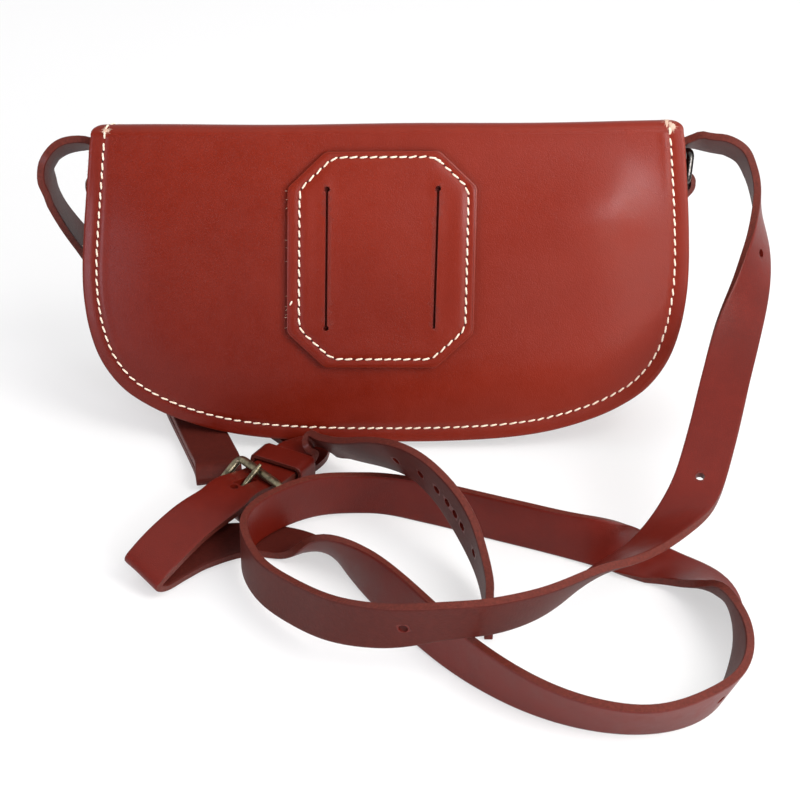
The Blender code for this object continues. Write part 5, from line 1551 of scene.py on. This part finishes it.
def rim_fibres():
    """Raw fibres that stand out of the left rim and of the patch's left edge."""
    parts = []
    line = resample(BACK.outline, 0.0004)
    inward = inward_of(line, PANEL_H)
    left = np.nonzero((line[:, 0] < 0) & (line[:, 1] > 0.060) & (line[:, 1] < 0.124))[0]
    for k in RANDOM.choice(left, RIM_HAIRS, replace=False):
        spot = BACK.at(line[k] + inward[k] * 0.0004, RANDOM.uniform(0.0002, LEATHER))[0]
        away = -(np.array([inward[k][0], 0, 0]) + BACK.up * inward[k][1])
        away = away + BACK.up * RANDOM.normal(0, 0.6) + BACK.out * RANDOM.normal(0.1, 0.3)
        parts.append(hair(spot, away, RANDOM.uniform(0.0006, 0.0013), 0.00011))
    edge = [p for p in PATCH_RIM if p[0] < PATCH_X - PATCH_W * 0.47]
    for k in RANDOM.choice(len(edge), PATCH_HAIRS, replace=False):
        spot = BACK.at(edge[k], -PATCH_T * RANDOM.uniform(0.3, 0.9))[0]
        away = np.array([-1, 0, 0]) + BACK.up * RANDOM.normal(0, 0.5) + BACK.out * 0.4
        parts.append(hair(spot, away, RANDOM.uniform(0.0006, 0.0012), 0.00010))
    finish_piece(merged("loose_fibres", parts, RAW_FIBRE), "bag", "panel_leather")


def build_details():
    """Stray stitches on the patch, and loose fibres."""
    rim_fibres()
    rim = np.array([PATCH_X - PATCH_W / 2 + 0.0013, PATCH_V - 0.018])
    parts = [one_stitch(patch_at, rim, rim + (0.0008, 0.0016), 0.00036)]
    knot = PATCH_SEAM[np.argmin(np.hypot(*(PATCH_SEAM - (PATCH_X + 0.024, PATCH_V + PATCH_H / 2)).T))]
    parts.append(one_stitch(patch_at, knot + (-0.0010, 0.0002), knot + (0.0014, -0.0006), 0.00040, proud=0.0004))
    finish_piece(merged("stray_stitches", parts, [THREAD, AWL_HOLE_SHADE]), "bag", "linen_thread")


# --- Studio ------------------------------------------------------------------------------------------------------

FLOOR_GLOW = 0.55
FLOOR_HALF = 15.0
# Area lights: name, place, target, size, watts, colour
LIGHTS = (
    ("key_upper_right", (0.80, -0.75, 1.30), (0.0, -0.05, 0.04), 0.75, 13.0, (1.0, 0.985, 0.96)),
    ("window_front_right", (0.58, -1.35, 0.66), (0.03, -0.02, 0.07), 0.34, 7.0, (0.96, 0.93, 1.0)),
    ("near_right", (0.56, -0.52, 0.40), (0.05, -0.03, 0.06), 0.30, 3.2, (1.0, 0.96, 0.92)),
    ("window_left", (-0.86, -1.06, 0.24), (-0.12, -0.02, 0.07), 0.26, 3.7, (0.96, 0.84, 1.0)),
    ("low_front_right", (0.47, -1.12, 0.14), (0.09, -0.02, 0.04), 0.22, 0.9, (1.0, 0.90, 0.82)),
)


def floor_material():
    """White paper that keeps its shadows and turns to plain white in the camera's eyes."""
    made = bpy.data.materials.new("paper_floor")
    s = Wiring(made)
    s.tree.nodes.clear()
    rays = s.node("LightPath").outputs
    seen = rays["Is Camera Ray"]
    for ray in ("Is Glossy Ray", "Is Transmission Ray"):
        seen = s.maths("ADD", seen, rays[ray], use_clamp=True)
    paper = s.node("BsdfDiffuse", {"Color": (0.93, 0.93, 0.935, 1.0)}).outputs[0]
    glow = s.node("Emission", {"Color": (1.0, 1.0, 1.0, 1.0)}).outputs[0]
    mixed = s.node("MixShader", {0: s.maths("MULTIPLY", seen, FLOOR_GLOW), 1: paper, 2: glow}).outputs[0]
    s.node("OutputMaterial", {"Surface": mixed})
    return made


def area_light(name, place, target, size, power, colour):
    """A soft square light turned towards a point."""
    data = bpy.data.lights.new(name, "AREA")
    data.size = size
    data.energy = power
    data.color = colour
    made = bpy.data.objects.new(name, data)
    made.location = place
    made.rotation_euler = (Vector(target) - Vector(place)).to_track_quat("-Z", "Y").to_euler()
    bpy.context.scene.collection.objects.link(made)


def build_world():
    """Soft white surroundings, darker low down behind the camera."""
    world = bpy.data.worlds.new("soft_room")
    bpy.context.scene.world = world
    s = Wiring(world)
    background = s.tree.nodes["Background"]
    way = s.node("SeparateXYZ", {0: s.node("TexCoord").outputs["Generated"]}).outputs
    dark = s.maths("MULTIPLY", s.span(way["Y"], 0.05, -0.50), s.span(way["Z"], 0.90, 0.55))
    s.feed(background.inputs["Color"], s.blend(dark, (0.99, 0.995, 1.0), (0.10, 0.10, 0.105)))
    background.inputs["Strength"].default_value = 0.95


def build_studio():
    """Floor, surroundings and lights."""
    mesh = bpy.data.meshes.new("paper_floor")
    corners = [(x * FLOOR_HALF, y * FLOOR_HALF, 0) for x, y in ((-1, -1), (1, -1), (1, 1), (-1, 1))]
    mesh.from_pydata(corners, [], [(0, 1, 2, 3)])
    floor = bpy.data.objects.new("paper_floor", mesh)
    mesh.materials.append(floor_material())
    bpy.context.scene.collection.objects.link(floor)
    build_world()
    for light in LIGHTS:
        area_light(*light)
    bpy.context.scene.view_settings.view_transform = "Standard"


# --- Assembly ----------------------------------------------------------------------------------------------------

build_camera()
long_strap, long_line, short_strap, short_line = build_straps()
build_panel(BACK, "panel_back", "back_panel")
build_panel(FRONT, "panel_front", "front_panel",
            [pin(FRONT.at((0, STUD_V))[0], FRONT.out, STUD_NECK_D + 2 * GAP, LEATHER * 4)])
build_gusset()
build_flap()
build_patch()
build_seams()
for ring_side, ring_word in ((1, "right"), (-1, "left")):
    build_ring(ring_side, ring_word)
    build_tab(ring_side, ring_word)
build_buckle()
build_keeper()
build_stud()
build_details()
build_studio()
tuple(long_line[0])
tuple(short_line[0])
